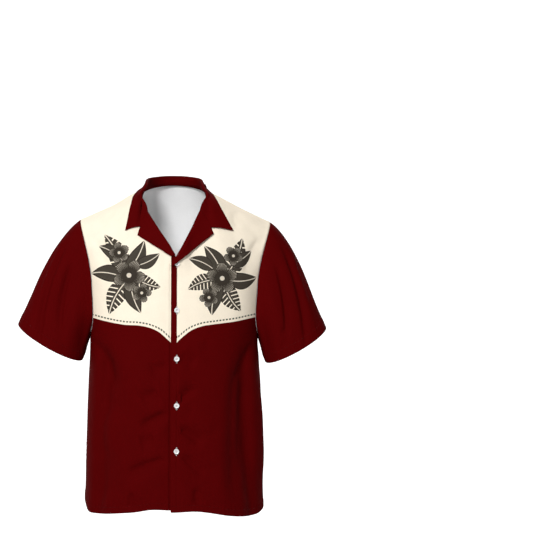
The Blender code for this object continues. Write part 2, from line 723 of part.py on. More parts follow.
def button(name, place, normal, collection, cutters):
    profile = bpy.data.meshes.new(name)
    half, rim = BUTTON_THICKNESS / 2, BUTTON_RIM
    outline = [
        (0.0, half - BUTTON_DISH),
        (BUTTON_RADIUS - 2 * rim, half - BUTTON_DISH),
        (BUTTON_RADIUS - rim, half),
        (BUTTON_RADIUS - rim / 3, half * 0.8),
        (BUTTON_RADIUS, 0.0),
        (BUTTON_RADIUS - rim / 3, -half * 0.8),
        (BUTTON_RADIUS - rim, -half),
        (0.0, -half),
    ]
    verts = [(x, 0.0, z) for x, z in outline]
    profile.from_pydata(verts, [(k, k + 1) for k in range(len(verts) - 1)], [])
    made = bpy.data.objects.new(name, profile)
    collection.objects.link(made)
    made.data.materials.append(material("pearl"))
    screw = made.modifiers.new("turned", "SCREW")
    screw.steps = screw.render_steps = BUTTON_SIDES
    screw.use_merge_vertices = True
    screw.merge_threshold = 0.00001
    screw.use_smooth_shade = True
    turn = Vector(normal).to_track_quat("Z", "Y")
    centre = Vector(place) + Vector(normal) * (LAYER_GAP + half)
    for k in range(4):
        angle = math.pi / 4 + math.pi / 2 * k
        offset = Vector((math.cos(angle), math.sin(angle), 0.0)) * HOLE_SPACING
        bm = bmesh.new()
        bmesh.ops.create_cone(
            bm,
            cap_ends=True,
            segments=HOLE_SIDES,
            radius1=HOLE_RADIUS,
            radius2=HOLE_RADIUS,
            depth=BUTTON_THICKNESS * 2,
        )
        mesh = bpy.data.meshes.new(f"{name}_hole_{k}")
        bm.to_mesh(mesh)
        bm.free()
        cutter = bpy.data.objects.new(mesh.name, mesh)
        cutters.objects.link(cutter)
        cutter.hide_render = True
        cutter.display_type = "WIRE"
        cutter.rotation_mode = "QUATERNION"
        cutter.rotation_quaternion = turn
        cutter.location = centre + turn @ offset
        cut = made.modifiers.new(f"hole_{k}", "BOOLEAN")
        cut.operation = "DIFFERENCE"
        cut.object = cutter
    made.rotation_mode = "QUATERNION"
    made.rotation_quaternion = turn
    made.location = centre
    return made


# --- the shirt ---


def main():
    clear_scene()
    shirt = new_collection("camp_collar_shirt")
    cutters = new_collection("cutters")

    back = side_gaps(panel_grid("back", None), "back")
    fronts = {}
    for side in ("left", "right"):
        fronts[side] = placket_shift(side_gaps(panel_grid("front", side), "front"), side)

    sheet("back", turned_out(back, level_centres(back)), CLOTH, shirt)
    for side in ("left", "right"):
        front = fronts[side]
        sheet(f"front_{side}", turned_out(front, level_centres(front)), CLOTH, shirt)
        sleeve = sleeve_grid(armhole_loop(fronts, back, side), side)
        sleeve = turned_out(sleeve, sleeve_centres(sleeve))
        sheet(f"sleeve_{side}", sleeve, CLOTH, shirt, closed=True)

    tree = surface_tree(back, fronts["left"], fronts["right"])
    trees = {side: surface_tree(back, fronts[side]) for side in fronts}
    halves = {side: collar_half(side, back, fronts, trees[side]) for side in fronts}
    collar = np.concatenate([halves["right"][:0:-1], halves["left"]])
    collar = drawn_back(drawn_back(collar, 0), len(collar) - 1)
    sheet("collar", leaf_out(collar), FOLDED_CLOTH, shirt)
    for side in ("left", "right"):
        lapel = drawn_back(lapel_grid(side, fronts, trees[side]), 0)
        sheet(f"lapel_{side}", leaf_out(lapel), FOLDED_CLOTH, shirt)

    for number, z in enumerate(BUTTON_Z, start=1):
        place, _, _, _ = tree.ray_cast(Vector((BUTTON_X, -1.0, z)), Vector((0.0, 1.0, 0.0)))
        place, normal = nearest_out(tree, place)
        button(f"button_{number}", place, normal, shirt, cutters)


main()
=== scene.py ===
"""The looks of a short-sleeved camp-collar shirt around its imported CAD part, in metres.

+Z is up, the front faces -Y and the wearer's left side is at +X. The cloth is built as the solids
are, with finer grids, and then gets its creases, seams and hems. Its neckline, gorge and collar edges
follow the photograph, up to about 5 mm from the solids' own.
"""

import json
import math

import bmesh
import bpy
import numpy as np
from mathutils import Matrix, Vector
from mathutils.bvhtree import BVHTree

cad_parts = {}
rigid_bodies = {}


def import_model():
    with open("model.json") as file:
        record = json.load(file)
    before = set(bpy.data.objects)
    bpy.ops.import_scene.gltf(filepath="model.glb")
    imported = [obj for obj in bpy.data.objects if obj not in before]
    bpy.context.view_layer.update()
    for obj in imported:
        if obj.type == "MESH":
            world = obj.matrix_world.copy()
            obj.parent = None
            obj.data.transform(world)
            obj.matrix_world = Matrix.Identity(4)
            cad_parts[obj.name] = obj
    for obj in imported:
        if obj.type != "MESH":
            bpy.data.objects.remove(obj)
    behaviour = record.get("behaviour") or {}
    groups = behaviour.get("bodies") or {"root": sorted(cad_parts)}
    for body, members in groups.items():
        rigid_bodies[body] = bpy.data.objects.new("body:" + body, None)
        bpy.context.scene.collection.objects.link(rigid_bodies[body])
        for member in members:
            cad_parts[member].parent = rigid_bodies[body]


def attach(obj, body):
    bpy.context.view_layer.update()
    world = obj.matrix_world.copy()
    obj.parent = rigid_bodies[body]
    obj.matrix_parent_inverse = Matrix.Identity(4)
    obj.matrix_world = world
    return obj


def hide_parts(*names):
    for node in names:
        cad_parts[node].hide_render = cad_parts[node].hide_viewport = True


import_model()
for spare in [o for o in bpy.data.objects if o.name in ("Cube", "Light", "Camera")]:
    bpy.data.objects.remove(spare)
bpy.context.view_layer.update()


def table_of(names, *rows):
    """The rows' columns, by name."""
    return dict(zip(names.split(), np.array(rows, float).T))


SIGN = {"left": 1, "right": -1}  # of x on each side
MM = 0.001  # in metres

# Cloth and seams
CLOTH = 0.0011  # wall of the solids, which the placket and the folds are spaced for
SHELL = 0.0006  # thickness of the visible cloth
FOLDED_SHELL = 0.0012  # and of the collar and lapels, which are two layers
LAYER_GAP = 0.0004  # between pieces that lie on each other

# Heights on the body, below the neck point
CHEST_Z = -0.215  # where the level rings end and the cloth turns to the shoulders
UNDERARM_Z = -0.330
BUTTON_Z = (-0.173, -0.278, -0.387, -0.491, -0.592)

# The torso's level rings, which the armholes cut from UNDERARM_Z up: half widths, and depths from the
# side seam's plane
SQUARENESS = 2.35  # exponent of the ring's outline; 2 is an ellipse
RING_DEPTH_SHARE = 0.64  # depth over half width of the ring that the columns are spaced on
SIDE_BLEND = 4.0  # how fast the half width goes from the right side's to the left one's
SIDE_SEAM_Y = 0.004
CENTRE_DROP = 0.05  # of the points that outward normals point away from, below the cloth's own
LEVELS = table_of(
    "z half_right half_left front back",
    (-0.77, 0.206, 0.207, 0.15, 0.13), (-0.728, 0.205, 0.206, 0.149, 0.129),
    (-0.663, 0.203, 0.203, 0.145, 0.125), (-0.625, 0.203, 0.203, 0.144, 0.124),
    (-0.535, 0.201, 0.2, 0.141, 0.121), (-0.435, 0.198, 0.196, 0.139, 0.119),
    (-0.33, 0.195, 0.194, 0.136, 0.119), (-0.215, 0.204, 0.205, 0.128, 0.117),
    (-0.15, 0.206, 0.207, 0.12, 0.112),
)

# The hem's height round the body: "around" is 0 at the middle of a face and 1 at its side seam
HEM = table_of(
    "around front_right front_left back",
    (-0.1, -0.721, -0.726, -0.7525), (0, -0.7215, -0.726, -0.7525), (0.2, -0.7205, -0.725, -0.752),
    (0.3, -0.725, -0.729, -0.7515), (0.45, -0.729, -0.7365, -0.7505),
    (0.6, -0.7322, -0.7405, -0.748), (0.7, -0.7332, -0.7411, -0.744),
    (0.78, -0.731, -0.738, -0.7385), (0.86, -0.72, -0.73, -0.729), (1, -0.701, -0.709, -0.705),
)

# Long soft folds that hang from the chest to the hem: around, lean, top, fade, width, depth
FOLDS = {
    "front": (
        (-0.64, -0.02, -0.33, 0.12, 0.06, -0.007), (-0.36, 0.02, -0.5, 0.15, 0.08, 0.003),
        (0.4, 0, -0.45, 0.15, 0.09, 0.003), (0.66, 0.03, -0.32, 0.12, 0.07, -0.008),
        (0.86, 0.02, -0.4, 0.12, 0.05, 0.0035),
    ),
    "back": (
        (-0.8, -0.02, -0.36, 0.14, 0.055, 0.004), (-0.4, -0.05, -0.28, 0.14, 0.07, -0.0075),
        (0, 0, -0.3, 0.2, 0.13, 0.004), (0.44, 0.05, -0.26, 0.14, 0.08, -0.009),
        (0.8, 0.02, -0.36, 0.14, 0.06, 0.0045),
    ),
}

FOLD_FOOT_Z = -0.75  # where they have leaned all the way
FOLD_SIDE_FADE = 0.12  # share of a face's half over which they fade to its side seam

# Armholes: the share of a face's half that is left between the armholes at CHEST_Z
CHEST_SHARE = 0.775
ARMHOLE_SQUARENESS = 3.0

# Upper edges. A front's edge runs from its break point up the roll line to the neck point, and then
# along the shoulder seam. "share" is the place along the panel's top, "x" is outward from the middle
# of the shirt, and rise_y and rise_z are the way that the cloth is heading as it gets there.
FRONT_TOP = {
    "left": table_of(
        "share x y z rise_y rise_z",
        (0, -0.0075, -0.1275, -0.179, 0.06, 1), (0.125, 0.0165, -0.12, -0.14, 0.14, 0.99),
        (0.25, 0.0405, -0.0985, -0.0925, 0.32, 0.94), (0.375, 0.0605, -0.0665, -0.048, 0.6, 0.8),
        (0.47, 0.074, -0.04, -0.026, 0.8, 0.6), (0.5625, 0.0755, -0.012, -0.002, 0.95, 0.3),
        (0.78, 0.15, -0.0105, -0.0345, 0.95, 0.3), (1, 0.223, -0.008, -0.068, 0.95, 0.3),
    ),
    "right": table_of(
        "share x y z rise_y rise_z",
        (0, -0.015, -0.123, -0.175, 0.06, 1), (0.125, 0.012, -0.118, -0.136, 0.14, 0.99),
        (0.25, 0.0405, -0.0985, -0.0935, 0.32, 0.94), (0.375, 0.0655, -0.0675, -0.0515, 0.6, 0.8),
        (0.47, 0.078, -0.0405, -0.028, 0.8, 0.6), (0.5625, 0.0785, -0.012, -0.002, 0.95, 0.3),
        (0.78, 0.15, -0.0105, -0.0335, 0.95, 0.3), (1, 0.219, -0.008, -0.065, 0.95, 0.3),
    ),
}
FRONT_EDGE = {"left": -0.0075, "right": -0.0150}  # how far each front reaches past the middle
GORGE_SHARE = 0.375  # the place on a front's top where the collar ends and the lapel begins
NECK_POINT_SHARE = 0.5625
PLACKET_WIDTH = 0.020  # half the width over which the two fronts lie on each other
PLACKET_SHARE = 0.55  # of a wall and its gap that each front moves: a little over half
BREAK_SPREAD = 0.0022  # more room between them where the left lapel folds over the right front
BREAK_SPREAD_Z = -0.150
BREAK_SPREAD_HEIGHT = 0.045
NECK_SHARE = 0.5625  # of a back half's top that is neckline, up to the neck point
NECK_BACK = (0.0, 0.0780, 0.0285)  # middle of the back neckline
NAPE_RISE = (0.0, -0.45, 0.90)  # the way that the back is heading there
SEAM_PULL = 0.36  # how far the rings and the top edge steer the cloth between them

# Sleeves: the hem is an oval whose long axis runs from the outer corner to the inner corner
SLEEVE_HEM = {"left": (0.2830, -0.0140, -0.3540), "right": (-0.2860, -0.0140, -0.3470)}
SLEEVE_HALF_WIDTH = {"left": 0.082, "right": 0.085}
SLEEVE_HALF_DEPTH = 0.057
SLEEVE_HEM_SLOPE = math.radians(29.0)  # of the hem's long axis, seen from the front
SLEEVE_FORWARD_DIP = 0.32  # how much the front of the hem hangs below its back
SLEEVE_AXIS_SLOPE = math.radians(64.5)  # of the sleeve, below the horizontal
# How the sleeve leaves the armhole at its top, front, underarm and back
SLEEVE_LEAVES = table_of(
    "out forward down start end",
    (0.8, 0.05, 0.6, 0.08, 0.125), (0.72, 0.34, 0.6, 0.05, 0.07), (0.34, 0, 0.94, 0.02, 0.022),
    (0.76, -0.3, 0.58, 0.05, 0.07),
)
# Folds down the sleeves: turn (0 at the sleeve's top, 0.5 in front, 1 underneath), lean, width, depth
SLEEVE_FOLDS = (
    (0.3, 0.16, 0.1, -0.006), (0.52, 0.14, 0.09, 0.003), (0.74, 0.06, 0.08, -0.004),
    (1.34, -0.04, 0.1, -0.0035), (1.7, -0.12, 0.11, -0.006),
)

# Collar and lapels. The leaf is the part outside the fold, which lies on the shirt.
SHIRT_CENTRE = (0.0, 0.010, -0.250)
RAY_Y = -1.0  # in front of the shirt, where the rays that find places on it start
BESIDE_Y = -0.12  # near which the front lies, for a ray that passes beside it
FOLD_RADIUS = 0.0032
ROLL_EASE = 0.0008  # of the roll line's fold above the front's edge
INSIDE_OVERLAP = 0.002  # how far the stand and facings go down inside the neckline
LEAF_LIFT = 0.0042  # of a leaf's outer side above the shirt
FOOT_LIFT = {"left": 0.0064, "right": 0.0042}  # the left lapel's foot covers half a button
GORGE_BEND = 0.70  # where along the collar its leaf begins to turn towards the notch
FLOW_PASSES = 34  # of smoothing along the neckline, where the collar's stand follows it
FOOT_TAPER = 0.6  # of the lapels' folds, which get flat where they end
LAPEL_END = {"left": 1.0, "right": 0.83}  # the left lapel covers the end of the right one
# "stand" is the fold's height above the neckline, and lean_x and lean_y its slope there, outward
# and backward; "edge" is where the leaf ends.
COLLAR = {
    "left": table_of(
        "share stand lean_x lean_y edge_x edge_y edge_z",
        (0, 0.019, 0, -0.05, 0, 0.093, 0.013), (0.22, 0.02, -0.22, -0.05, 0.042, 0.085, 0.011),
        (0.44, 0.0235, -0.4, 0.06, 0.071, 0.052, 0.004),
        (0.62, 0.0235, -0.46, 0.16, 0.081, 0.004, 0.008),
        (0.78, 0.014, 0.05, 0.3, 0.0935, -0.04, -0.026),
        (1, 0.0008, 0, 0.6, 0.133, -0.078, -0.095),
    ),
    "right": table_of(
        "share stand lean_x lean_y edge_x edge_y edge_z",
        (0, 0.019, 0, -0.05, 0, 0.093, 0.013), (0.22, 0.02, -0.22, -0.05, 0.042, 0.085, 0.011),
        (0.44, 0.0235, -0.38, 0.06, 0.074, 0.052, 0.004),
        (0.62, 0.0235, -0.42, 0.16, 0.087, 0.004, 0.006),
        (0.78, 0.0145, 0.05, 0.3, 0.096, -0.04, -0.025),
        (1, 0.0008, 0, 0.6, 0.112, -0.083, -0.097),
    ),
}
# Corners of the lapels and of the notch above them, seen from the front: x outward, and z
NOTCH = {"left": (0.0825, -0.0895), "right": (0.079, -0.0875)}
LAPEL_TIP = {"left": (0.088, -0.104), "right": (0.085, -0.108)}
LAPEL_FOOT = {"left": (0.003, -0.1725), "right": (0.0074, -0.157)}
LAPEL_TIP_SHARE = 0.25  # where the tip stands along the lapel's edge

# Grid sizes
STATIONS_COLLAR = 121
STATIONS_LAPEL = 61
LEAF_STEPS = 12
FOLD_STEPS = 12
FOLD_POINTS = FOLD_STEPS + 3  # with the two points of the part inside the neck

# Creases over the fronts and back, as lines seen from the front, in millimetres: x0, z0, x1, z1, bow,
# width, depth. The bow bends the line sideways, and a negative depth is a trough with a soft ridge
# beside it.
CREASES = {
    "front": (
        (4.5, -490, 52, -447, 3, 8.1, -2.3), (-10, -504, -80, -544, -4, 9.5, -2.6),
        (-10, -606, -115, -650, -6, 9.5, -2.3), (4.5, -539, 66, -583, 4, 9.5, -2.5),
        (10, -598, 70, -654, 3, 8.1, -1.7), (-35, -456, -78, -480, 2, 13.5, -2),
        (-42, -560, -80, -570, 2, 13.5, -1.7), (-10, -396, -60, -410, 3, 10.8, -1.4),
        (5, -385, 50, -405, 3, 10.8, -1.4), (-98, -680, -96, -720, 0, 6.8, -1.7),
        (48, -670, 50, -715, 0, 7.4, -1.7), (-160, -345, -154, -540, 6, 19, -3.6),
        (-190, -335, -138, -460, 6, 8, -1.6), (184, -340, 142, -450, -6, 8, -1.8),
        (170, -390, 158, -660, -6, 12, -2), (144, -350, 140, -730, -4, 20, -3.2),
        (-156, -560, -160, -715, 4, 15, -1.8), (-195, -100, -150, -220, 10, 10, -1.6),
        (200, -102, 160, -210, -8, 10, -1.4), (-125, -38, -150, -95, 4, 9, -1),
        (135, -44, 150, -90, -4, 9, -1),
    ),
    "back": (
        (-70, 2, -95, -90, 6, 9, -1.2), (72, 0, 100, -85, -6, 9, -1.2),
        (-195, -105, -150, -210, 10, 10, -1.6), (195, -105, 152, -220, -10, 10, -1.6),
        (-185, -335, -140, -460, 6, 9, -1.8), (185, -335, 135, -470, -6, 9, -1.8),
        (-95, -430, -80, -700, 6, 12, -1.8), (100, -400, 110, -705, -6, 12, -2),
        (-100, -690, -101, -745, 0, 6, -1.3), (102, -670, 101, -730, 0, 6, -1.3),
        (30, -500, 95, -540, 4, 8, -1.2), (-40, -590, -95, -620, -4, 8, -1.2),
    ),
}
# The same on the sleeves, where x is round the sleeve from its top and z down from the armhole
SLEEVE_CREASES = {
    "left": (
        (45, 30, 100, 230, 8, 9, -2.2), (90, 30, 155, 160, 6, 8, -1.8),
        (15, 80, 30, 210, -4, 11, -1.2), (400, 30, 350, 225, -8, 9, -2.2),
        (355, 30, 300, 160, -6, 8, -1.8),
    ),
    "right": (
        (40, 30, 105, 235, 10, 9, -2.4), (85, 30, 150, 150, 6, 8, -1.8),
        (20, 60, 40, 200, 4, 11, -1.4), (400, 30, 345, 220, -8, 9, -2.2),
        (350, 30, 300, 150, -6, 8, -1.8),
    ),
}
CREASE_STRENGTH = 3.1  # of the depths above
CREASE_ENDS = 0.30  # of a crease's length over which it fades at each end
EASY_SIDE = 1.9  # times as wide as the other, is the side of a crease that its ridge is on
RIDGE_SHARE = 0.30  # of a crease's depth that its ridge has
RIDGE_PLACE = 2.0  # of a crease's width to the middle of its ridge
RIDGE_WIDTH = 1.7

SLOW_DEPTH = 0.00075  # of the cloth's low unevenness: its long waves
FAST_DEPTH = 0.00026  # and its short ones
OUTER_FADE = 0.014  # over which creases grow in from a side seam or an armhole
TOP_FADE = 0.012  # and from the top edge
EDGE_FADE = 0.018  # and from the edges down the middle of the front

# Seams and hems
SEAM_DIP = 0.0009
SEAM_WIDTH = 0.0013
FELL_WIDTH = 0.0060  # of the allowance that shows as a flat band beside an armhole seam
FELL_RISE = 0.0003
HEM_WIDTH = 0.0155
SLEEVE_HEM_WIDTH = 0.0230
HEM_RISE = 0.0007  # of the folded hem over the cloth above it
HEM_STEP = 0.0012  # over which it rises
STITCHES_IN = 0.0014  # from a hem's upper edge down to its line of stitches
PUCKER = 0.00034
PUCKER_START = 0.003  # from a seam over which its puckers grow
STITCH_LENGTH = 0.0021
STITCH_PITCH = 0.0027
STITCH_RADIUS = 0.00022
STITCH_ARCH = (-0.00012, 0.00018, 0.00024, 0.00018, -0.00012)  # heights of its points
PLACKET_FOLD_X = 0.0060  # of the line that shows where the facing's fold is pressed
PLACKET_FOLD_DIP = 0.0010
LAP_DIP = 0.0022  # of the right front beside the edge that lies on it
LAP_DIP_X = -0.0098

# The printed yoke's lower edge, seen from the front: x outward from the middle, and z
YOKE_EDGE = {
    "right": table_of(
        "x z",
        (0, -0.3573), (0.008, -0.3505), (0.017, -0.3423), (0.0328, -0.3284), (0.0532, -0.3182),
        (0.0735, -0.3132), (0.1138, -0.31), (0.163, -0.3001), (0.19, -0.2923),
    ),
    "left": table_of(
        "x z",
        (0, -0.3593), (0.0052, -0.3505), (0.0153, -0.3403), (0.0354, -0.3243), (0.0595, -0.3141),
        (0.0877, -0.3094), (0.14, -0.3019), (0.1805, -0.2926), (0.2, -0.2883),
    ),
    "back": table_of(
        "x z",
        (-0.21, -0.2705), (-0.1, -0.28), (0, -0.2855), (0.095, -0.284), (0.21, -0.273),
    ),
}
STRIP_X = 0.0050  # where the plain strip beside the left front's edge ends
UNDER_STRIP_X = -0.0085  # and where the one on the right front, under it, begins

BUTTON_X = 0.0050
BUTTON_RADIUS = 0.0060
BUTTON_THICKNESS = 0.0026
BUTTON_DISH = 0.0008
BUTTON_RIM = 0.0013
HOLE_RADIUS = 0.0008
HOLE_SPACING = 0.0017  # from the button's centre to each of its four holes
BUTTON_SIDES = 48
HOLE_SIDES = 14
BUTTONHOLE_LENGTH = 0.0195
BUTTONHOLE_WIDTH = 0.0032
BUTTONHOLE_PITCH = 0.00042  # of the stitches round it
BUTTONHOLE_THREAD_RADIUS = 0.00023
BUTTON_THREAD_RADIUS = 0.00024
THREAD_ARCH = (-0.0011, 0.0, 0.00025, 0.0, -0.0011)  # of a thread that goes down into two holes
THREAD_ASIDE = 0.00026  # of each of two threads from the line between their holes
THREAD_OVER_DISH = 0.0002

# Colours and print
MAROON = (0.086, 0.0006, 0.0010, 1.0)
CREAM = (0.98, 0.875, 0.71, 1.0)
INK = (0.014, 0.009, 0.006, 1.0)
DASH_INK = (0.075, 0.09, 0.065, 1.0)
INSIDE = (0.92, 0.92, 0.92, 1.0)
PRINT_EDGE = 0.0005  # over which the print's edge goes from one colour to the other
WEAVE_PITCH = 0.00062  # of two threads
DASH_OVER_EDGE = 0.0070
DASH_HALF_WIDTH = 0.0016
DASH_PITCH = 0.0074
DASH_SHARE = 0.62
# The printed spray, seen from the front: each leaf from its foot, and each flower from its middle
# x, z, degrees, length, width and whether it is split
LEAVES = {
    "left": (
        (0.115, -0.199, 66, 0.097, 0.0284, 1), (0.107, -0.197, 122, 0.078, 0.0243, 0),
        (0.123, -0.209, 8, 0.066, 0.0243, 0), (0.113, -0.219, -58, 0.071, 0.027, 1),
        (0.101, -0.219, -104, 0.073, 0.0243, 0), (0.091, -0.209, -160, 0.066, 0.023, 1),
        (0.125, -0.173, 34, 0.061, 0.0203, 0), (0.085, -0.183, 158, 0.059, 0.0189, 0),
    ),
    "right": (
        (-0.114, -0.192, 118, 0.1, 0.0284, 1), (-0.108, -0.192, 62, 0.083, 0.0243, 0),
        (-0.121, -0.202, 172, 0.071, 0.0243, 0), (-0.108, -0.212, -118, 0.085, 0.0284, 1),
        (-0.1, -0.209, -72, 0.08, 0.0243, 0), (-0.094, -0.201, -22, 0.068, 0.023, 1),
        (-0.118, -0.165, 148, 0.066, 0.0203, 0), (-0.086, -0.177, 28, 0.059, 0.0189, 0),
    ),
}
# x, z, degrees, radius
FLOWERS = {
    "left": (
        (0.107, -0.205, 52, 0.038), (0.133, -0.153, 20, 0.024), (0.077, -0.249, 100, 0.023),
    ),
    "right": (
        (-0.103, -0.199, 12, 0.039), (-0.126, -0.147, 40, 0.025), (-0.074, -0.239, 70, 0.023),
    ),
}

# Stage
FLOOR_Z = -2.30
FLOOR_REACH = 9.0  # of the floor, towards the front
BACKDROP_SIDE = 14.0  # half its width
BEND_Y = 4.0  # where the floor begins to bend up into the wall
BEND_RADIUS = 1.6
BEND_STEPS = 24
WALL_TOP_Z = 9.0
CAMERA_PLACE = (-0.0047, -3.2, -0.356)
CAMERA_AIM = (0.215, 0.0, -0.1715)
FRAME_WIDTH = 533 * 0.00235  # of what the frame shows at the shirt's middle
SENSOR_WIDTH = 36.0  # of the camera, in millimetres
WORLD_STRENGTH = 0.20
BACKDROP_GLOW = 0.85
WALL_Y = 4.6  # behind this the backdrop glows
# Name, watts, size, place and target
LIGHTS = (
    ("key", 121.0, 0.9, (-1.20, -3.1, 1.7), (0.0, 0.0, -0.35)),
    ("fill", 4.0, 2.4, (1.8, -2.8, 0.2), (0.0, 0.0, -0.4)),
    ("rim", 22.0, 1.6, (0.6, 2.0, 1.8), (0.0, 0.0, -0.3)),
)


# --- the grids ---


def steps(*parts):
    """Places from 0 up, in evenly spaced parts that are each given by their end and count."""
    places, start = [np.zeros(1)], 0.0
    for end, count in parts:
        places.append(np.linspace(start, end, count + 1)[1:])
        start = end
    return np.concatenate(places)


ACROSS_FRONT = steps((0.10, 22), (GORGE_SHARE, 30), (NECK_POINT_SHARE, 22), (0.94, 44), (1.0, 12))
ACROSS_HALF = steps((NECK_SHARE, 40), (0.94, 28), (1.0, 12))
ACROSS_BACK = np.concatenate([-ACROSS_HALF[:0:-1], ACROSS_HALF])
LOW = steps((0.05, 24), (1.0, 116))
ARMHOLE = steps((1.0, 28))
HIGH = steps((0.93, 50), (1.0, 12))
DOWN_SLEEVE = steps((0.05, 8), (0.86, 44), (1.0, 24))
GORGE_COLUMN = int(np.argmin(abs(ACROSS_FRONT - GORGE_SHARE)))
NECK_COLUMN = int(np.argmin(abs(ACROSS_FRONT - NECK_POINT_SHARE)))
BACK_MIDDLE = len(ACROSS_HALF) - 1
BACK_NECK = int(np.argmin(abs(ACROSS_HALF - NECK_SHARE)))
ROWS_LOW = len(LOW) - 1


# --- curves and directions ---


def smooth(table, name, at):
    """A cubic through one column of a table, read at other places of its first column."""
    xs, ys = next(iter(table.values())), table[name]
    if xs[0] > xs[-1]:
        xs, ys = xs[::-1], ys[::-1]
    slopes = np.gradient(ys, xs)
    at = np.clip(np.asarray(at, float), xs[0], xs[-1])
    i = np.clip(np.searchsorted(xs, at) - 1, 0, len(xs) - 2)
    width = xs[i + 1] - xs[i]
    t = (at - xs[i]) / width
    return (
        ys[i] * (1 + 2 * t) * (1 - t) ** 2
        + slopes[i] * width * t * (1 - t) ** 2
        + ys[i + 1] * t * t * (3 - 2 * t)
        + slopes[i + 1] * width * t * t * (t - 1)
    )


def smooth_row(table, at):
    return {name: smooth(table, name, at) for name in table}


def ease(t):
    t = np.clip(t, 0.0, 1.0)
    return t * t * (3 - 2 * t)


def bell(x, width):
    return np.exp(-((x / width) ** 2))


def summed(lengths):
    """The sums of a row of lengths up to each of its ends, from 0."""
    return np.concatenate([[0.0], np.cumsum(lengths)])


def columns_at(at, run, points):
    """The columns of points, read at places along their run."""
    return np.stack([np.interp(at, run, column) for column in points.T], axis=-1)


def unit(v):
    v = np.asarray(v, float)
    return v / np.maximum(np.linalg.norm(v, axis=-1, keepdims=True), 1e-12)


def square_to(v, along):
    """The unit vector nearest to v that is square to another unit vector."""
    return unit(v - (v * along).sum(axis=-1, keepdims=True) * along)


# --- the torso's form ---


def ring_spacing():
    """Shares of a quarter ring's length, and the angle at each."""
    angle = np.linspace(0.0, math.pi / 2, 600)
    x = np.sin(angle) ** (2 / SQUARENESS)
    y = np.cos(angle) ** (2 / SQUARENESS) * RING_DEPTH_SHARE
    run = summed(np.hypot(np.diff(x), np.diff(y)))
    return run / run[-1], angle


RING_SHARES, RING_ANGLES = ring_spacing()


def around_of_x(x):
    """The share of a face's half, from its middle, at which the ring at CHEST_Z is x out."""
    half = smooth(LEVELS, "half_left", CHEST_Z)
    angle = np.arcsin(np.clip(abs(x) / half, 0, 1) ** (SQUARENESS / 2))
    return np.sign(x) * np.interp(angle, RING_ANGLES, RING_SHARES)


def ring(face, around, z):
    """Points of the level rings: around runs from -1 to 1 across a face, from the right side seam."""
    around, z = np.broadcast_arrays(np.asarray(around, float), np.asarray(z, float))
    angle = np.interp(np.abs(around), RING_SHARES, RING_ANGLES)
    across = np.sin(angle) ** (2 / SQUARENESS)
    outward = np.maximum(np.cos(angle), 0.0) ** (2 / SQUARENESS)
    left, right = smooth(LEVELS, "half_left", z), smooth(LEVELS, "half_right", z)
    half = left + (right - left) * ease(0.5 - SIDE_BLEND * around)
    depth = smooth(LEVELS, face, z)
    way = -1.0 if face == "front" else 1.0
    return np.stack(
        [np.sign(around) * half * across, SIDE_SEAM_Y + way * depth * outward, z + 0.0 * across],
        axis=-1,
    )


def fold_depth(face, around, z):
    """How far the long folds move the cloth out, in metres."""
    total = np.zeros(np.broadcast(around, z).shape)
    for middle, lean, top, fade, width, depth in FOLDS[face]:
        centre = middle + lean * ease((top - z) / (top - FOLD_FOOT_Z))
        total += depth * bell(around - centre, width) * ease((top - z) / fade)
    return total * ease((1 - np.abs(around)) / FOLD_SIDE_FADE)


def armhole_share(turn):
    """The armhole's height and share of a face's half, for turn 0 at the underarm to 1 at the chest."""
    angle = (1 - turn) * math.pi / 2
    down = math.sin(angle) ** (2 / ARMHOLE_SQUARENESS)
    away = 1 - max(math.cos(angle), 0.0) ** (2 / ARMHOLE_SQUARENESS)
    z = CHEST_Z + (UNDERARM_Z - CHEST_Z) * down
    return z, CHEST_SHARE + (1 - CHEST_SHARE) * away


def bezier(p0, p1, p2, p3, t):
    return (1 - t) ** 3 * p0 + 3 * t * (1 - t) ** 2 * p1 + 3 * t * t * (1 - t) * p2 + t**3 * p3


def front_top(side, share):
    """Points of a front's top edge, and the way the cloth is heading there."""
    table = FRONT_TOP[side]
    read = smooth_row(table, share)
    point = np.stack([SIGN[side] * read["x"], read["y"], read["z"]], axis=-1)
    rise = np.stack([0.0 * read["x"], read["rise_y"], read["rise_z"]], axis=-1)
    return point, unit(rise)


def back_top(share):
    """The back's top edge for share -1 to 1: half the neckline, then a shoulder seam, each way."""
    place = np.abs(share)
    neck_point, shoulder_rise = front_top("left", np.array(NECK_POINT_SHARE))
    right_neck_point, _ = front_top("right", np.array(NECK_POINT_SHARE))
    turn = np.clip(place / NECK_SHARE, 0, 1) * math.pi / 2
    neck_x = np.where(share < 0, right_neck_point[0], neck_point[0]) * np.sin(turn)
    neck_y = neck_point[1] + (NECK_BACK[1] - neck_point[1]) * np.cos(turn)
    neck_z = neck_point[2] + (NECK_BACK[2] - neck_point[2]) * np.cos(turn)
    neck = np.stack([neck_x, neck_y, neck_z], axis=-1)
    seam = np.clip((place - NECK_SHARE) / (1 - NECK_SHARE), 0, 1)
    along = NECK_POINT_SHARE + (1 - NECK_POINT_SHARE) * seam
    seams = {side: front_top(side, along) for side in ("left", "right")}
    on_left = (share >= 0)[..., None]
    shoulder = np.where(on_left, seams["left"][0], seams["right"][0])
    point = np.where((place <= NECK_SHARE)[..., None], neck, shoulder)
    bend = np.clip(place / NECK_SHARE, 0, 1)[..., None] ** 2
    return point, unit(unit(NAPE_RISE) * (1 - bend) - shoulder_rise * bend)


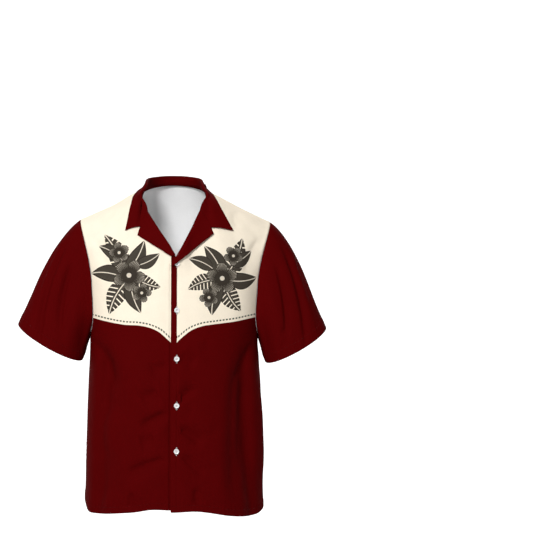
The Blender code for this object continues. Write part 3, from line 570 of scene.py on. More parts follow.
def panel_grid(face, side):
    """Rows of points of a panel's outer side, from the hem to its top edge."""
    inner, way, across, hem_name = 0.0, 1, ACROSS_BACK, "back"
    if face == "front":
        inner, way, across = around_of_x(FRONT_EDGE[side]), SIGN[side], ACROSS_FRONT
        hem_name = f"front_{side}"
    top, rise = front_top(side, across) if face == "front" else back_top(across)

    def spread(outer):
        return way * (inner + across * (outer - inner))

    rows = []
    for up in LOW:
        around = spread(1.0)
        hem = smooth(HEM, hem_name, np.abs(around))
        z = hem + (UNDERARM_Z - hem) * up
        rows.append((around, ring(face, around, z)))
    for up in ARMHOLE[1:]:
        z, outer = armhole_share(up)
        around = spread(outer)
        rows.append((around, ring(face, around, z)))
    around = spread(CHEST_SHARE)
    start = ring(face, around, CHEST_Z)
    heading = unit(ring(face, around, CHEST_Z + 0.004) - ring(face, around, CHEST_Z - 0.004))
    length = np.linalg.norm(top - start, axis=-1, keepdims=True)
    pull = length * SEAM_PULL
    for up in HIGH[1:]:
        points = bezier(start, start + heading * pull, top - rise * pull, top, up)
        rows.append((around, points))
    around = np.array([row[0] for row in rows])
    points = np.array([row[1] for row in rows])
    normals = outward_normals(points, level_centres(points))
    return points + normals * fold_depth(face, around, points[..., 2])[..., None]


def level_centres(points):
    """The middle of the body at each point's height."""
    centres = points.copy()
    centres[..., 0] = 0.0
    centres[..., 1] = SIDE_SEAM_Y
    centres[..., 2] -= CENTRE_DROP
    return centres


def grid_normals(points):
    return unit(np.cross(np.gradient(points, axis=1), np.gradient(points, axis=0)))


def outward_normals(points, centres):
    """Unit normals of a grid of points, on the side away from the centres."""
    normals = grid_normals(points)
    return normals if (normals * (points - centres)).sum() > 0 else -normals


def placket_shift(points, side):
    """The left front laps over the right one, so near the middle each moves off the shared form."""
    near = 1 - ease((np.abs(points[..., 0]) - PLACKET_WIDTH) / PLACKET_WIDTH)
    above = (points[..., 2] - BREAK_SPREAD_Z) / BREAK_SPREAD_HEIGHT
    spread = BREAK_SPREAD * bell(above, 1.0)
    apart = (CLOTH + LAYER_GAP) * PLACKET_SHARE + spread
    moved = points.copy()
    moved[..., 1] -= near * apart * SIGN[side]
    return moved


# --- the panels, dressed ---


def run_from(points, axis, start):
    """How far each point is along its row or column from a starting one, in metres."""
    lengths = np.linalg.norm(np.diff(points, axis=axis), axis=-1)
    run = np.insert(np.cumsum(lengths, axis=axis), 0, 0.0, axis=axis)
    return run - np.take(run, [start], axis=axis)


def crease_depth(creases, x, z):
    """How far the creases move the cloth out, for lines in the same two directions as x and z."""
    total = np.zeros(np.broadcast(x, z).shape)
    for x0, z0, x1, z1, bow, width, depth in np.array(creases) * MM:
        dx, dz = x1 - x0, z1 - z0
        length = math.hypot(dx, dz)
        along = ((x - x0) * dx + (z - z0) * dz) / length**2
        across = ((z - z0) * dx - (x - x0) * dz) / length
        across = across - 4 * bow * along * (1 - along)
        ends = ease(along / CREASE_ENDS) * ease((1 - along) / CREASE_ENDS)
        wide = width * (0.7 + 0.5 * np.clip(along, 0, 1)) * np.where(across > 0, EASY_SIDE, 1.0)
        ridge = bell(across / wide - RIDGE_PLACE, RIDGE_WIDTH)
        total += CREASE_STRENGTH * depth * ends * (bell(across, wide) - RIDGE_SHARE * ridge)
    return total


def softness(u, v):
    """The cloth's low unevenness: long in the hanging direction, and nowhere quite flat."""
    slow = np.sin(u / 0.0195 + 1.6 * np.sin(v / 0.083)) * np.sin(v / 0.071 + 0.9 * np.sin(u / 0.05))
    fast = np.sin(u / 0.0083 + 2.1 * np.sin(v / 0.047) + 0.7) * np.sin(v / 0.031 + u / 0.06)
    return SLOW_DEPTH * slow + FAST_DEPTH * fast


def puckers(run, away, reach=0.007):
    """Small gathers that sewing leaves along a seam, fading away from it."""
    wave = np.sin(run / 0.00135) + 0.7 * np.sin(run / 0.00212 + 1.3) + 0.5 * np.sin(run / 0.0037)
    return PUCKER * wave * bell(away, reach)


def seam_dip(away):
    return -SEAM_DIP * bell(away, SEAM_WIDTH)


def hem_rise(v, width):
    """The folded hem stands a little proud, and its stitches pull the cloth in along a line."""
    band = 1 - ease((v - width) / HEM_STEP)
    pull = bell(v - width + STITCHES_IN, 0.0009)
    return HEM_RISE * (band - 0.75 * pull - 0.6 * bell(v, 0.0008))


def dressed_panel(points, face, side):
    """The panel with its creases, seams and hem, and its lengths across and up in metres."""
    outer = points.shape[1] - 1
    u = run_from(points, 1, 0 if face == "front" else BACK_MIDDLE)
    v = run_from(points, 0, 0)
    x, z = points[..., 0], points[..., 2]
    to_outer = u[:, [outer]] - u
    if face == "back":
        to_outer = np.minimum(to_outer, u - u[:, [0]])
    to_top = v[-1] - v
    columns = np.abs(ACROSS_FRONT if face == "front" else ACROSS_BACK)
    shoulder = columns >= (NECK_POINT_SHARE if face == "front" else NECK_SHARE)
    at_armhole = np.arange(len(points))[:, None] > ROWS_LOW
    depth = crease_depth(CREASES[face], x, z) + softness(u, v)
    depth *= ease(to_outer / OUTER_FADE) * ease(to_top / TOP_FADE)
    if side == "right":
        depth *= ease((-0.006 - x) / EDGE_FADE)
    elif side == "left":
        depth *= ease((x + 0.004) / EDGE_FADE)
    along_shoulder = seam_dip(to_top) + puckers(u, to_top) * ease(to_top / PUCKER_START)
    depth += seam_dip(to_outer) + np.where(shoulder, along_shoulder, 0.0)
    depth += puckers(v, to_outer) * ease(to_outer / PUCKER_START)
    fell = ease((to_outer - 0.001) / 0.002) * (1 - ease((to_outer - FELL_WIDTH) / 0.0015))
    depth += np.where(at_armhole, FELL_RISE * fell, 0.0)
    hem = hem_rise(v, HEM_WIDTH) + 0.9 * puckers(u, v - HEM_WIDTH, 0.009)
    depth += hem * ease(to_outer / 0.004)
    if side == "right":
        depth -= LAP_DIP * bell(x - LAP_DIP_X, 0.0020) * (z < BUTTON_Z[0])
    if side == "left":
        depth -= PLACKET_FOLD_DIP * bell(x - PLACKET_FOLD_X, 0.0018)
        depth -= 0.0004 * bell(x - FRONT_EDGE["left"], 0.0010)
    normals = outward_normals(points, level_centres(points))
    return points + normals * depth[..., None], u, v


def dressed_sleeve(points, side):
    """The sleeve with its creases, armhole seam and hem, and its lengths round and down in metres."""
    round_it = run_from(points, 1, 0)
    down = run_from(points, 0, 0)
    to_hem = down[-1] - down
    depth = crease_depth(SLEEVE_CREASES[side], round_it, down)
    turn = 2 * math.pi * round_it / round_it[:, [-1]]
    soft = softness(0.03 * np.sin(turn) + 0.05 * np.cos(2 * turn), down + 0.02 * np.cos(turn))
    depth = (depth + 1.2 * soft) * ease(down / 0.016)
    depth += seam_dip(down) + puckers(round_it, down) * ease(down / PUCKER_START)
    depth += hem_rise(to_hem, SLEEVE_HEM_WIDTH)
    depth += puckers(round_it, to_hem - SLEEVE_HEM_WIDTH, 0.010) * 0.9
    underarm = round_it - round_it[:, [len(round_it[0]) // 2]]
    depth += seam_dip(underarm) * ease(down / 0.004)
    depth[:, -1] = depth[:, 0]
    normals = outward_normals(points, sleeve_centres(points))
    normals[:, 0] = normals[:, -1] = unit(normals[:, 1] + normals[:, -2])
    return points + normals * depth[..., None], round_it, to_hem


def surface_tree(*grids):
    verts, faces = [], []
    for grid in grids:
        base, (rows, columns) = len(verts), grid.shape[:2]
        verts += [Vector(p) for p in grid.reshape(-1, 3)]
        for r in range(rows - 1):
            for c in range(columns - 1):
                a = base + r * columns + c
                faces.append((a, a + 1, a + columns + 1, a + columns))
    return BVHTree.FromPolygons(verts, faces)


def nearest_out(tree, point):
    """The nearest point of the shirt, and its normal pointing away from the shirt's inside."""
    place, normal, _, _ = tree.find_nearest(Vector(point))
    if normal.dot(place - Vector(SHIRT_CENTRE)) < 0:
        normal = -normal
    return np.array(place), np.array(normal)


def lying_on(tree, point, lift):
    place, normal = nearest_out(tree, point)
    return place + normal * lift


def kept_off(tree, point, lift):
    """The point, moved out if it is less than lift above the shirt."""
    place, normal = nearest_out(tree, point)
    return point + normal * max(0.0, lift - float(np.dot(point - place, normal)))


# --- sleeves ---


def armhole_loop(fronts, back, side):
    """The armhole's points from the shoulder down the front to the underarm and up the back."""
    front_edge = fronts[side][ROWS_LOW:, -1]
    back_edge = back[ROWS_LOW:, -1 if side == "left" else 0]
    underarm, top = (front_edge[0] + back_edge[0]) / 2, (front_edge[-1] + back_edge[-1]) / 2
    return np.array([top, *front_edge[-2:0:-1], underarm, *back_edge[1:-1], top])


def turn_along(loop):
    """The angle round the sleeve at each of the loop's points: 0 at the top, pi at the underarm."""
    half = len(loop) // 2
    steps = np.linalg.norm(np.diff(loop, axis=0), axis=1)
    front, back = np.cumsum(steps[:half]), np.cumsum(steps[half:])
    return math.pi * np.concatenate([[0.0], front / front[-1], 1 + back / back[-1]])


def blend_round(angle, name):
    """A column of SLEEVE_LEAVES, turned smoothly from the top to the front, underarm and back."""
    cos, sin = math.cos(angle), math.sin(angle)
    return float(np.maximum([cos, sin, -cos, -sin], 0.0) ** 2 @ SLEEVE_LEAVES[name])


def sleeve_fold_depth(turn, down):
    """How far the sleeve's folds move its cloth out, for places round it and down it."""
    total = np.zeros(np.broadcast(turn, down).shape)
    for place, lean, width, depth in SLEEVE_FOLDS:
        total += depth * bell(turn - place - lean * down, width)
    return total * np.sin(math.pi * down) ** 2


def sleeve_grid(loop, side):
    sign = SIGN[side]
    hem_centre = np.array(SLEEVE_HEM[side])
    outer = np.array([sign * math.cos(SLEEVE_HEM_SLOPE), 0.0, math.sin(SLEEVE_HEM_SLOPE)])
    forward = unit([0.0, -1.0, -SLEEVE_FORWARD_DIP])
    axis = np.array([sign * math.cos(SLEEVE_AXIS_SLOPE), 0.0, -math.sin(SLEEVE_AXIS_SLOPE)])
    grid = np.zeros((len(DOWN_SLEEVE), len(loop), 3))
    angles = turn_along(loop)
    for c, angle in enumerate(angles):
        hem = (
            hem_centre
            + outer * SLEEVE_HALF_WIDTH[side] * math.cos(angle)
            + forward * SLEEVE_HALF_DEPTH * math.sin(angle)
        )
        out, forth, down = (blend_round(angle, name) for name in ("out", "forward", "down"))
        leave = unit([sign * out, -forth, -down])
        start, leaving = loop[c], loop[c] + leave * blend_round(angle, "start")
        arriving = hem - axis * blend_round(angle, "end")
        for r, down in enumerate(DOWN_SLEEVE):
            grid[r, c] = bezier(start, leaving, arriving, hem, down)
    normals = outward_normals(grid, sleeve_centres(grid))
    normals[:, -1] = normals[:, 0]
    folds = sleeve_fold_depth(angles / math.pi, DOWN_SLEEVE[:, None])
    return grid + normals * folds[..., None]


def sleeve_centres(grid):
    return grid[:, :-1].mean(axis=1, keepdims=True)


# --- collar and lapels ---


def edge_frames(grid, first, last):
    """Part of a panel's top edge: its points, the way up off the panel, and the way along it."""
    edge, below = grid[-1, first : last + 1], grid[-2, first : last + 1]
    along = unit(np.gradient(edge, axis=0))
    rise = square_to(edge - below, along)
    facing = (np.cross(along, rise) * (edge - SHIRT_CENTRE)).sum()
    return np.stack([edge, rise, along if facing > 0 else -along], axis=1)


def even_stations(frames, count, end=1.0):
    """Edge frames read at even places along the edge, up to a share of it, and those places."""
    steps = np.linalg.norm(np.diff(frames[:, 0], axis=0), axis=1)
    run = summed(steps) / steps.sum()
    at = np.linspace(0.0, end, count)
    read = columns_at(at, run, frames.reshape(-1, 9)).reshape(-1, 3, 3)
    read[:, 2] = unit(read[:, 2])
    read[:, 1] = square_to(read[:, 1], read[:, 2])
    return at, read


def flowing(frames):
    """The same frames, with the corners in their line evened out between its two ends."""
    frames = np.array(frames)
    for _ in range(FLOW_PASSES):
        frames[1:-1] = (frames[:-2] + 2 * frames[1:-1] + frames[2:]) / 4
    frames[:, 1:] = unit(frames[:, 1:])
    return frames


def folded_section(tree, frames, upward, stand, leaf, radius=FOLD_RADIUS):
    """Up inside the neck, round the fold, and out along the leaf's points over the shirt."""
    edge, rise, along = frames
    outward = unit(np.cross(along, upward))
    middle = edge - unit(np.cross(along, rise)) * CLOTH / 2
    fold_centre = middle + upward * stand
    start = middle - outward * radius - upward * INSIDE_OVERLAP
    points = [start, (start + fold_centre - outward * radius) / 2]
    for k in range(FOLD_STEPS + 1):
        angle = math.pi * k / FOLD_STEPS
        swing = upward * math.sin(angle) - outward * math.cos(angle)
        points.append(fold_centre + swing * radius)
    return points + leaf(points[-1])


def leaf_points(tree, lift, *corners):
    """Returns a function that runs from the fold through the corners, kept off the shirt."""

    def run(start):
        points, previous = [], start
        for corner in corners:
            for k in range(1, LEAF_STEPS + 1):
                straight = previous + (corner - previous) * k / LEAF_STEPS
                points.append(kept_off(tree, straight, lift))
            previous = corner
        return points

    return run


def collar_half(side, back, fronts, tree):
    """Sections of one half of the collar, from the nape to the gorge."""
    sign = SIGN[side]
    round_nape = edge_frames(back, BACK_MIDDLE - BACK_NECK, BACK_MIDDLE + BACK_NECK)
    down_front = edge_frames(fronts[side], 0, NECK_COLUMN)[GORGE_COLUMN:NECK_COLUMN][::-1]
    frames = np.concatenate([round_nape[BACK_NECK::sign], down_front])
    shares, frames = even_stations(frames, STATIONS_COLLAR)
    frames = flowing(frames)
    table = COLLAR[side]
    notch = seen_from_front(tree, sign * NOTCH[side][0], NOTCH[side][1], LEAF_LIFT)
    sections = []
    for share, station in zip(shares, frames):
        edge, rise, along = station
        at = smooth_row(table, share)
        near_gorge = ease((share - GORGE_BEND) / (1 - GORGE_BEND))
        lean = unit([sign * at["lean_x"], at["lean_y"], 1.0])
        upward = square_to(lean + (rise - lean) * near_gorge**6, along)
        tip = lying_on(tree, (sign * at["edge_x"], at["edge_y"], at["edge_z"]), LEAF_LIFT)
        in_front = seen_from_front(tree, sign * at["edge_x"], at["edge_z"], LEAF_LIFT)
        tip = tip + (in_front - tip) * near_gorge
        bend = (edge + upward * at["stand"] + tip) / 2
        bend = bend + (notch - bend) * near_gorge
        leaf = leaf_points(tree, LEAF_LIFT, bend, tip)
        sections.append(folded_section(tree, station, upward, at["stand"], leaf))
    return np.array(sections)


def hit_from_front(tree, x, z):
    """The shirt's point that a ray from the front meets at x and z, or none."""
    return tree.ray_cast(Vector((x, RAY_Y, z)), Vector((0.0, 1.0, 0.0)))[0]


def seen_from_front(tree, x, z, lift):
    """The point over the shirt's front that stands at x and z."""
    return lying_on(tree, hit_from_front(tree, x, z) or (x, BESIDE_Y, z), lift)


def lapel_grid(side, fronts, tree):
    frames = edge_frames(fronts[side], 0, GORGE_COLUMN + 1)[GORGE_COLUMN::-1]
    shares, frames = even_stations(frames, STATIONS_LAPEL, LAPEL_END[side])
    shares = shares / shares[-1]
    corners = (NOTCH[side], LAPEL_TIP[side], LAPEL_FOOT[side])
    stops = (0.0, LAPEL_TIP_SHARE, 1.0)
    sections = []
    for share, station in zip(shares, frames):
        x, z = (np.interp(share, stops, places) for places in zip(*corners))
        lift = LEAF_LIFT + (FOOT_LIFT[side] - LEAF_LIFT) * share
        corner = seen_from_front(tree, SIGN[side] * x, z, lift)
        leaf = leaf_points(tree, lift, corner)
        radius = FOLD_RADIUS * (1 - FOOT_TAPER * ease((share - 0.75) / 0.25))
        sections.append(folded_section(tree, station, station[1], ROLL_EASE, leaf, radius))
    return np.array(sections)


# --- making pieces ---


def new_collection(name):
    collection = bpy.data.collections.new(name)
    bpy.context.scene.collection.children.link(collection)
    return collection


def new_object(name, data, collection=None):
    obj = bpy.data.objects.new(name, data)
    (collection or bpy.context.scene.collection).objects.link(obj)
    return obj


def new_mesh(name, verts, faces, edges=()):
    mesh = bpy.data.meshes.new(name)
    mesh.from_pydata(verts, edges, faces)
    mesh.shade_smooth()
    return mesh


def grid_mesh(name, points, u, v, facing, closed=False, values=None):
    """A mesh from a grid of points, with u and v as its UV map and values kept on its points."""
    rows, columns = points.shape[:2]
    unique = columns - 1 if closed else columns
    index = np.arange(rows)[:, None] * unique + np.arange(columns)[None, :] % unique
    corners = [(0, 0), (0, 1), (1, 1), (1, 0)]
    if (grid_normals(points) * facing).sum() < 0:
        corners = corners[::-1]

    def corner_values(grid):
        parts = [grid[r : rows - 1 + r, c : columns - 1 + c] for r, c in corners]
        return np.stack(parts, axis=2).reshape(-1, 4)

    verts = points[:, :unique].reshape(-1, 3).tolist()
    mesh = new_mesh(name, verts, corner_values(index).tolist())
    layer = mesh.uv_layers.new(name="cloth")
    pairs = np.stack([corner_values(u).ravel(), corner_values(v).ravel()], axis=1)
    layer.data.foreach_set("uv", pairs.ravel().astype(np.float32))
    for key, grid in (values or {}).items():
        attribute = mesh.attributes.new(key, "FLOAT", "POINT")
        attribute.data.foreach_set("value", grid[:, :unique].ravel().astype(np.float32))
    mesh.update()
    return mesh


def put(name, mesh, slot, *nodes, placed=None):
    """Adds a piece that rides on the shirt and stands for CAD nodes. The slot argument is not used."""
    obj = new_object(name, mesh, VISIBLE)
    if placed:
        place_at(obj, *placed)
    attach(obj, "root")
    if nodes:
        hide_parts(*nodes)
    return obj


def place_at(obj, location, turn):
    obj.rotation_mode = "QUATERNION"
    obj.rotation_quaternion = turn
    obj.location = location


def modified(obj, name, kind, **settings):
    modifier = obj.modifiers.new(name, kind)
    for key, value in settings.items():
        setattr(modifier, key, value)


def shell(obj, thickness, *materials):
    """Gives the cloth its thickness, inwards, and its outer and inner materials."""
    for made in materials:
        obj.data.materials.append(made)
    inside = len(materials) - 1
    form = {"thickness": thickness, "offset": -1.0, "use_rim": True, "material_offset": inside}
    modified(obj, "cloth", "SOLIDIFY", **form)
    return obj


def tube_run(points, radius, sides=6, caps=0.35):
    """Vertices and faces of a short thread along points, with tapered ends."""
    points = np.asarray(points, float)
    ways = unit(np.gradient(points, axis=0))
    verts, faces = [], []
    for k, (point, way) in enumerate(zip(points, ways)):
        side = unit(np.cross(way, [0.31, 0.87, 0.38]))
        other = np.cross(way, side)
        size = radius * (caps if k in (0, len(points) - 1) else 1.0)
        for s in range(sides):
            angle = 2 * math.pi * s / sides
            verts.append(point + (side * math.cos(angle) + other * math.sin(angle)) * size)
    for k in range(len(points) - 1):
        for s in range(sides):
            a, b = k * sides + s, k * sides + (s + 1) % sides
            faces.append((a, b, b + sides, a + sides))
    faces.append(tuple(range(sides))[::-1])
    faces.append(tuple(range(len(verts) - sides, len(verts))))
    return verts, faces


def joined(name, parts):
    """One mesh from many vertices-and-faces pairs."""
    verts, faces = [], []
    for part_verts, part_faces in parts:
        base = len(verts)
        verts += [tuple(p) for p in part_verts]
        faces += [tuple(base + k for k in face) for face in part_faces]
    return new_mesh(name, verts, faces)


def line_on(points, lengths, at):
    """Points where each column of a grid crosses one length."""
    line = []
    for column, run in zip(points.swapaxes(0, 1), lengths.T):
        order = np.argsort(run)
        line.append(columns_at(at, run[order], column[order]))
    return np.array(line)


def stitches(line, centre):
    """Short threads along a line on the cloth, a little above it, away from the centre points."""
    run = summed(np.linalg.norm(np.diff(line, axis=0), axis=1))
    parts = []
    for k in range(int(run[-1] / STITCH_PITCH)):
        start = (k + 0.15) * STITCH_PITCH
        at = start + STITCH_LENGTH * np.linspace(0, 1, len(STITCH_ARCH))
        path = columns_at(at, run, line)
        out = path.mean(axis=0) - centre(path.mean(axis=0))
        way = unit(path[-1] - path[0])
        out = unit(out - np.dot(out, way) * way)
        parts.append(tube_run(path + out * np.array(STITCH_ARCH)[:, None], STITCH_RADIUS))
    return parts


# --- materials ---


def feeding(operation):
    """A method that feeds a value and another one to a math node."""
    return lambda self, other: self.shader.math(operation, self, other)


class Value:
    """What a shader's socket gives. Arithmetic on it, and math nodes' names, make other values."""

    def __init__(self, shader, socket):
        self.shader, self.socket = shader, socket

    def __getattr__(self, operation):
        return lambda *others: self.shader.math(operation.upper(), self, *others)

    def __rsub__(self, other):
        return self.multiply_add(-1.0, other)

    __add__ = __radd__ = feeding("ADD")
    __mul__ = __rmul__ = feeding("MULTIPLY")
    __sub__, __truediv__, __pow__ = feeding("SUBTRACT"), feeding("DIVIDE"), feeding("POWER")
    __lt__, __gt__ = feeding("LESS_THAN"), feeding("GREATER_THAN")


class Shader:
    """Builds a node tree by calls that take numbers, colours or values and return values."""

    def __init__(self, tree):
        self.tree = tree

    def node(self, kind, **settings):
        made = self.tree.nodes.new(kind)
        for key, value in settings.items():
            setattr(made, key, value)
        return made

    def put(self, socket, value):
        if isinstance(value, Value):
            self.tree.links.new(value.socket, socket)
        else:
            socket.default_value = value

    def fed(self, kind, *values, inputs=None, **settings):
        """The outputs of a node with values on its first inputs, or on those that are named."""
        made = self.node(kind, **settings)
        for key, value in (inputs or dict(enumerate(values))).items():
            self.put(made.inputs[key], value)
        return [Value(self, socket) for socket in made.outputs]

    def math(self, operation, *values):
        return self.fed("ShaderNodeMath", *values, operation=operation)[0]

    def mix(self, factor, a, b, blend="MIX"):
        inputs = {0: factor, 6: a, 7: b}
        return self.fed("ShaderNodeMix", inputs=inputs, data_type="RGBA", blend_type=blend)[2]

    def step(self, value, softness):
        """0 below zero and 1 above it, over a width."""
        return self.fed("ShaderNodeClamp", value * (1.0 / softness) + 0.5)[0]

    def place(self):
        return Value(self, self.node("ShaderNodeTexCoord").outputs["Object"])

    def stored(self, name):
        return Value(self, self.node("ShaderNodeAttribute", attribute_name=name).outputs["Fac"])

    def noise(self, vector, scale, detail=3.0):
        inputs = {"Vector": vector, "Scale": scale, "Detail": detail}
        return self.fed("ShaderNodeTexNoise", inputs=inputs)[0]

    def scaled(self, vector, scale):
        return self.fed("ShaderNodeVectorMath", vector, scale, operation="MULTIPLY")[0]


def new_material(name, roughness, **inputs):
    """A material, its shader's tools and its shader, with other inputs by their names."""
    made = bpy.data.materials.new(name)
    made.use_nodes = True
    shader = made.node_tree.nodes["Principled BSDF"]
    values = {"Roughness": roughness, "Sheen Roughness": 0.5, "Specular IOR Level": 0.02}
    values.update({key.replace("_", " "): value for key, value in inputs.items()})
    for key, value in values.items():
        shader.inputs[key].default_value = value
    return made, Shader(made.node_tree), shader


def weave(s, shader, colour):
    """Plain weave: crossing threads with uneven thickness, as colour variation and bump."""
    uv = s.fed("ShaderNodeUVMap", uv_map="cloth")[0]
    u, v, _ = s.fed("ShaderNodeSeparateXYZ", uv)
    over = (u * (2 * math.pi / WEAVE_PITCH)).sine() * (v * (2 * math.pi / WEAVE_PITCH)).sine()
    slub = s.noise(s.scaled(uv, (1800.0, 70.0, 1.0)), 1.0, 2.0)
    slub = slub + s.noise(s.scaled(uv, (70.0, 1800.0, 1.0)), 1.0, 2.0)
    tone = slub * 0.10 + (s.noise(uv, 22.0, 4.0) * 0.12 + 0.84) + over * 0.03
    grey = s.fed("ShaderNodeCombineColor", tone, tone, tone)[0]
    s.put(shader.inputs["Base Color"], s.mix(1.0, colour, grey, "MULTIPLY"))
    inputs = {"Strength": 0.35, "Distance": 0.00012, "Height": slub * 0.5 + over * 0.5}
    s.put(shader.inputs["Normal"], s.fed("ShaderNodeBump", inputs=inputs)[0])


def plain_cloth(name, colour, roughness=0.8):
    made, s, shader = new_material(name, roughness)
    weave(s, shader, colour)
    return made


def motif_group(name, inputs, draw):
    """A node group that draws one motif: it returns where the motif covers the cloth, and its ink."""
    group = bpy.data.node_groups.new(name, "ShaderNodeTree")
    for key in ("x", "z", *inputs):
        group.interface.new_socket(key, in_out="INPUT", socket_type="NodeSocketFloat")
    for key in ("cover", "ink"):
        group.interface.new_socket(key, in_out="OUTPUT", socket_type="NodeSocketFloat")
    s = Shader(group)
    start, end = s.node("NodeGroupInput"), s.node("NodeGroupOutput")
    values = [Value(s, socket) for socket in start.outputs[: 2 + len(inputs)]]
    for socket, value in zip(end.inputs, draw(s, *values)):
        s.put(socket, value)
    return group


def leaf_motif(s, x, z, foot_x, foot_z, cos, sin, length, width, split):
    dx, dz = x - foot_x, z - foot_z
    along = (dx * cos + dz * sin) / length
    across = (dz * cos - dx * sin) / width + along * (1.0 - along) * 0.9
    off = across.absolute()
    half = along.maximum(0.0) ** 0.6 * (1.0 - along) * 2.3
    spare = half - off
    rib = (along * 8.0 - off * 0.85).fract()
    gap = (rib < 0.26) * (off > 0.16) * split
    tone = off / half.maximum(0.05) * -0.58 + ((across > 0.0) * -0.25 + 1.42)
    hatch = (along * 26.0 - off * 1.3).fract() < tone
    ink = ((hatch * 0.03 + 0.97) * 0.98).maximum(spare < 0.11)
    vein = off < 0.045
    return (spare > 0.0) * (1.0 - gap), ink * (vein * -0.8 + 1.0)


def flower_motif(s, x, z, middle_x, middle_z, turn, radius):
    dx, dz = x - middle_x, z - middle_z
    out = (dx * dx + dz * dz).sqrt() / radius
    angle = dz.arctan2(dx) + turn
    petal = (angle * 2.5).cosine().absolute()
    spare = petal**0.55 * 0.5 + 0.46 + (angle * 27.0).sine() * 0.018 - out
    apart = (petal < 0.13) * (out > 0.2)
    fade = (1.0 - out).maximum(0.0) ** 0.8
    rays = (petal * 0.6 + angle * 9.55).fract() < fade * 1.15 + 0.26
    ink = (spare < 0.05).maximum(apart).maximum(rays * 0.40 + 0.60)
    ink = ink * ((out < 0.17) * -0.7 + 1.0)
    return spare > 0.0, ink.maximum(out.compare(0.17, 0.03))


def spray_ink(s, leaves, flowers):
    """Leaves under flowers, as ink from 0 to 1, seen from the front."""
    x, _, z = s.fed("ShaderNodeSeparateXYZ", s.place())
    calls = []
    for foot_x, foot_z, degrees, *size in leaves:
        angle = math.radians(degrees)
        calls.append((LEAF_GROUP, (foot_x, foot_z, math.cos(angle), math.sin(angle), *size)))
    for middle_x, middle_z, degrees, radius in flowers:
        calls.append((FLOWER_GROUP, (middle_x, middle_z, math.radians(degrees), radius)))
    total = 0.0
    for group, numbers in calls:
        cover, ink = s.fed("ShaderNodeGroup", x, z, *numbers, node_tree=group)
        total = ink * cover + (1.0 - cover) * total
    return total


def printed_cloth(name, leaves=(), flowers=()):
    """Maroon cloth with a printed pale yoke above its stored edge. A front's has the spray on it too,
    a dashed line along the edge, and no paleness on the strip beside its opening."""
    made, s, shader = new_material(name, 0.8)
    over = s.stored("over_yoke_edge")
    pale, yoke = s.step(over, PRINT_EDGE), CREAM
    if leaves:
        pale = pale * s.step(s.stored("past_strip"), PRINT_EDGE)
        yoke = s.mix(spray_ink(s, leaves, flowers) * 0.97, CREAM, INK)
        beat = (s.stored("along_yoke_edge") / DASH_PITCH).fract()
        dash = over.compare(DASH_OVER_EDGE, DASH_HALF_WIDTH) * (beat < DASH_SHARE)
        yoke = s.mix(dash, yoke, DASH_INK)
    weave(s, shader, s.mix(pale, MAROON, yoke))
    return made


def clouded(name, roughness, scale, detail, dark, light, **inputs):
    """A material whose colour varies between two, over the piece."""
    made, s, shader = new_material(name, roughness, **inputs)
    cloud = s.noise(s.scaled(s.place(), scale), 1.0, detail)
    s.put(shader.inputs["Base Color"], s.mix(cloud, dark, light))
    return made


def thread(name, colour):
    dark = (*(0.72 * c for c in colour[:3]), 1.0)
    return clouded(name, 0.6, (4000.0, 4000.0, 4000.0), 1.0, dark, colour, Sheen_Weight=0.1)


# --- buttons ---


def button_mesh(name):
    """Half of a button's outline, which a screw modifier turns round its axis."""
    half, rim = BUTTON_THICKNESS / 2, BUTTON_RIM
    rounded = ((0.7, 1.0), (0.3, 0.86), (0.07, 0.45), (0.0, 0.0))
    top = [
        (BUTTON_RADIUS, half - BUTTON_DISH),
        (2.1 * rim, half - BUTTON_DISH),
        (1.5 * rim, half - 0.6 * BUTTON_DISH),
        (1.1 * rim, half - 0.1 * BUTTON_DISH),
    ]
    top += [(inward * rim, half * up) for inward, up in rounded]
    under = [(inward * rim, -half * up) for inward, up in rounded[2::-1]]
    outline = [*top, *under, (BUTTON_RADIUS, -half)]
    verts = [(BUTTON_RADIUS - inward, 0.0, z) for inward, z in outline]
    return new_mesh(name, verts, [], [(k, k + 1) for k in range(len(verts) - 1)])


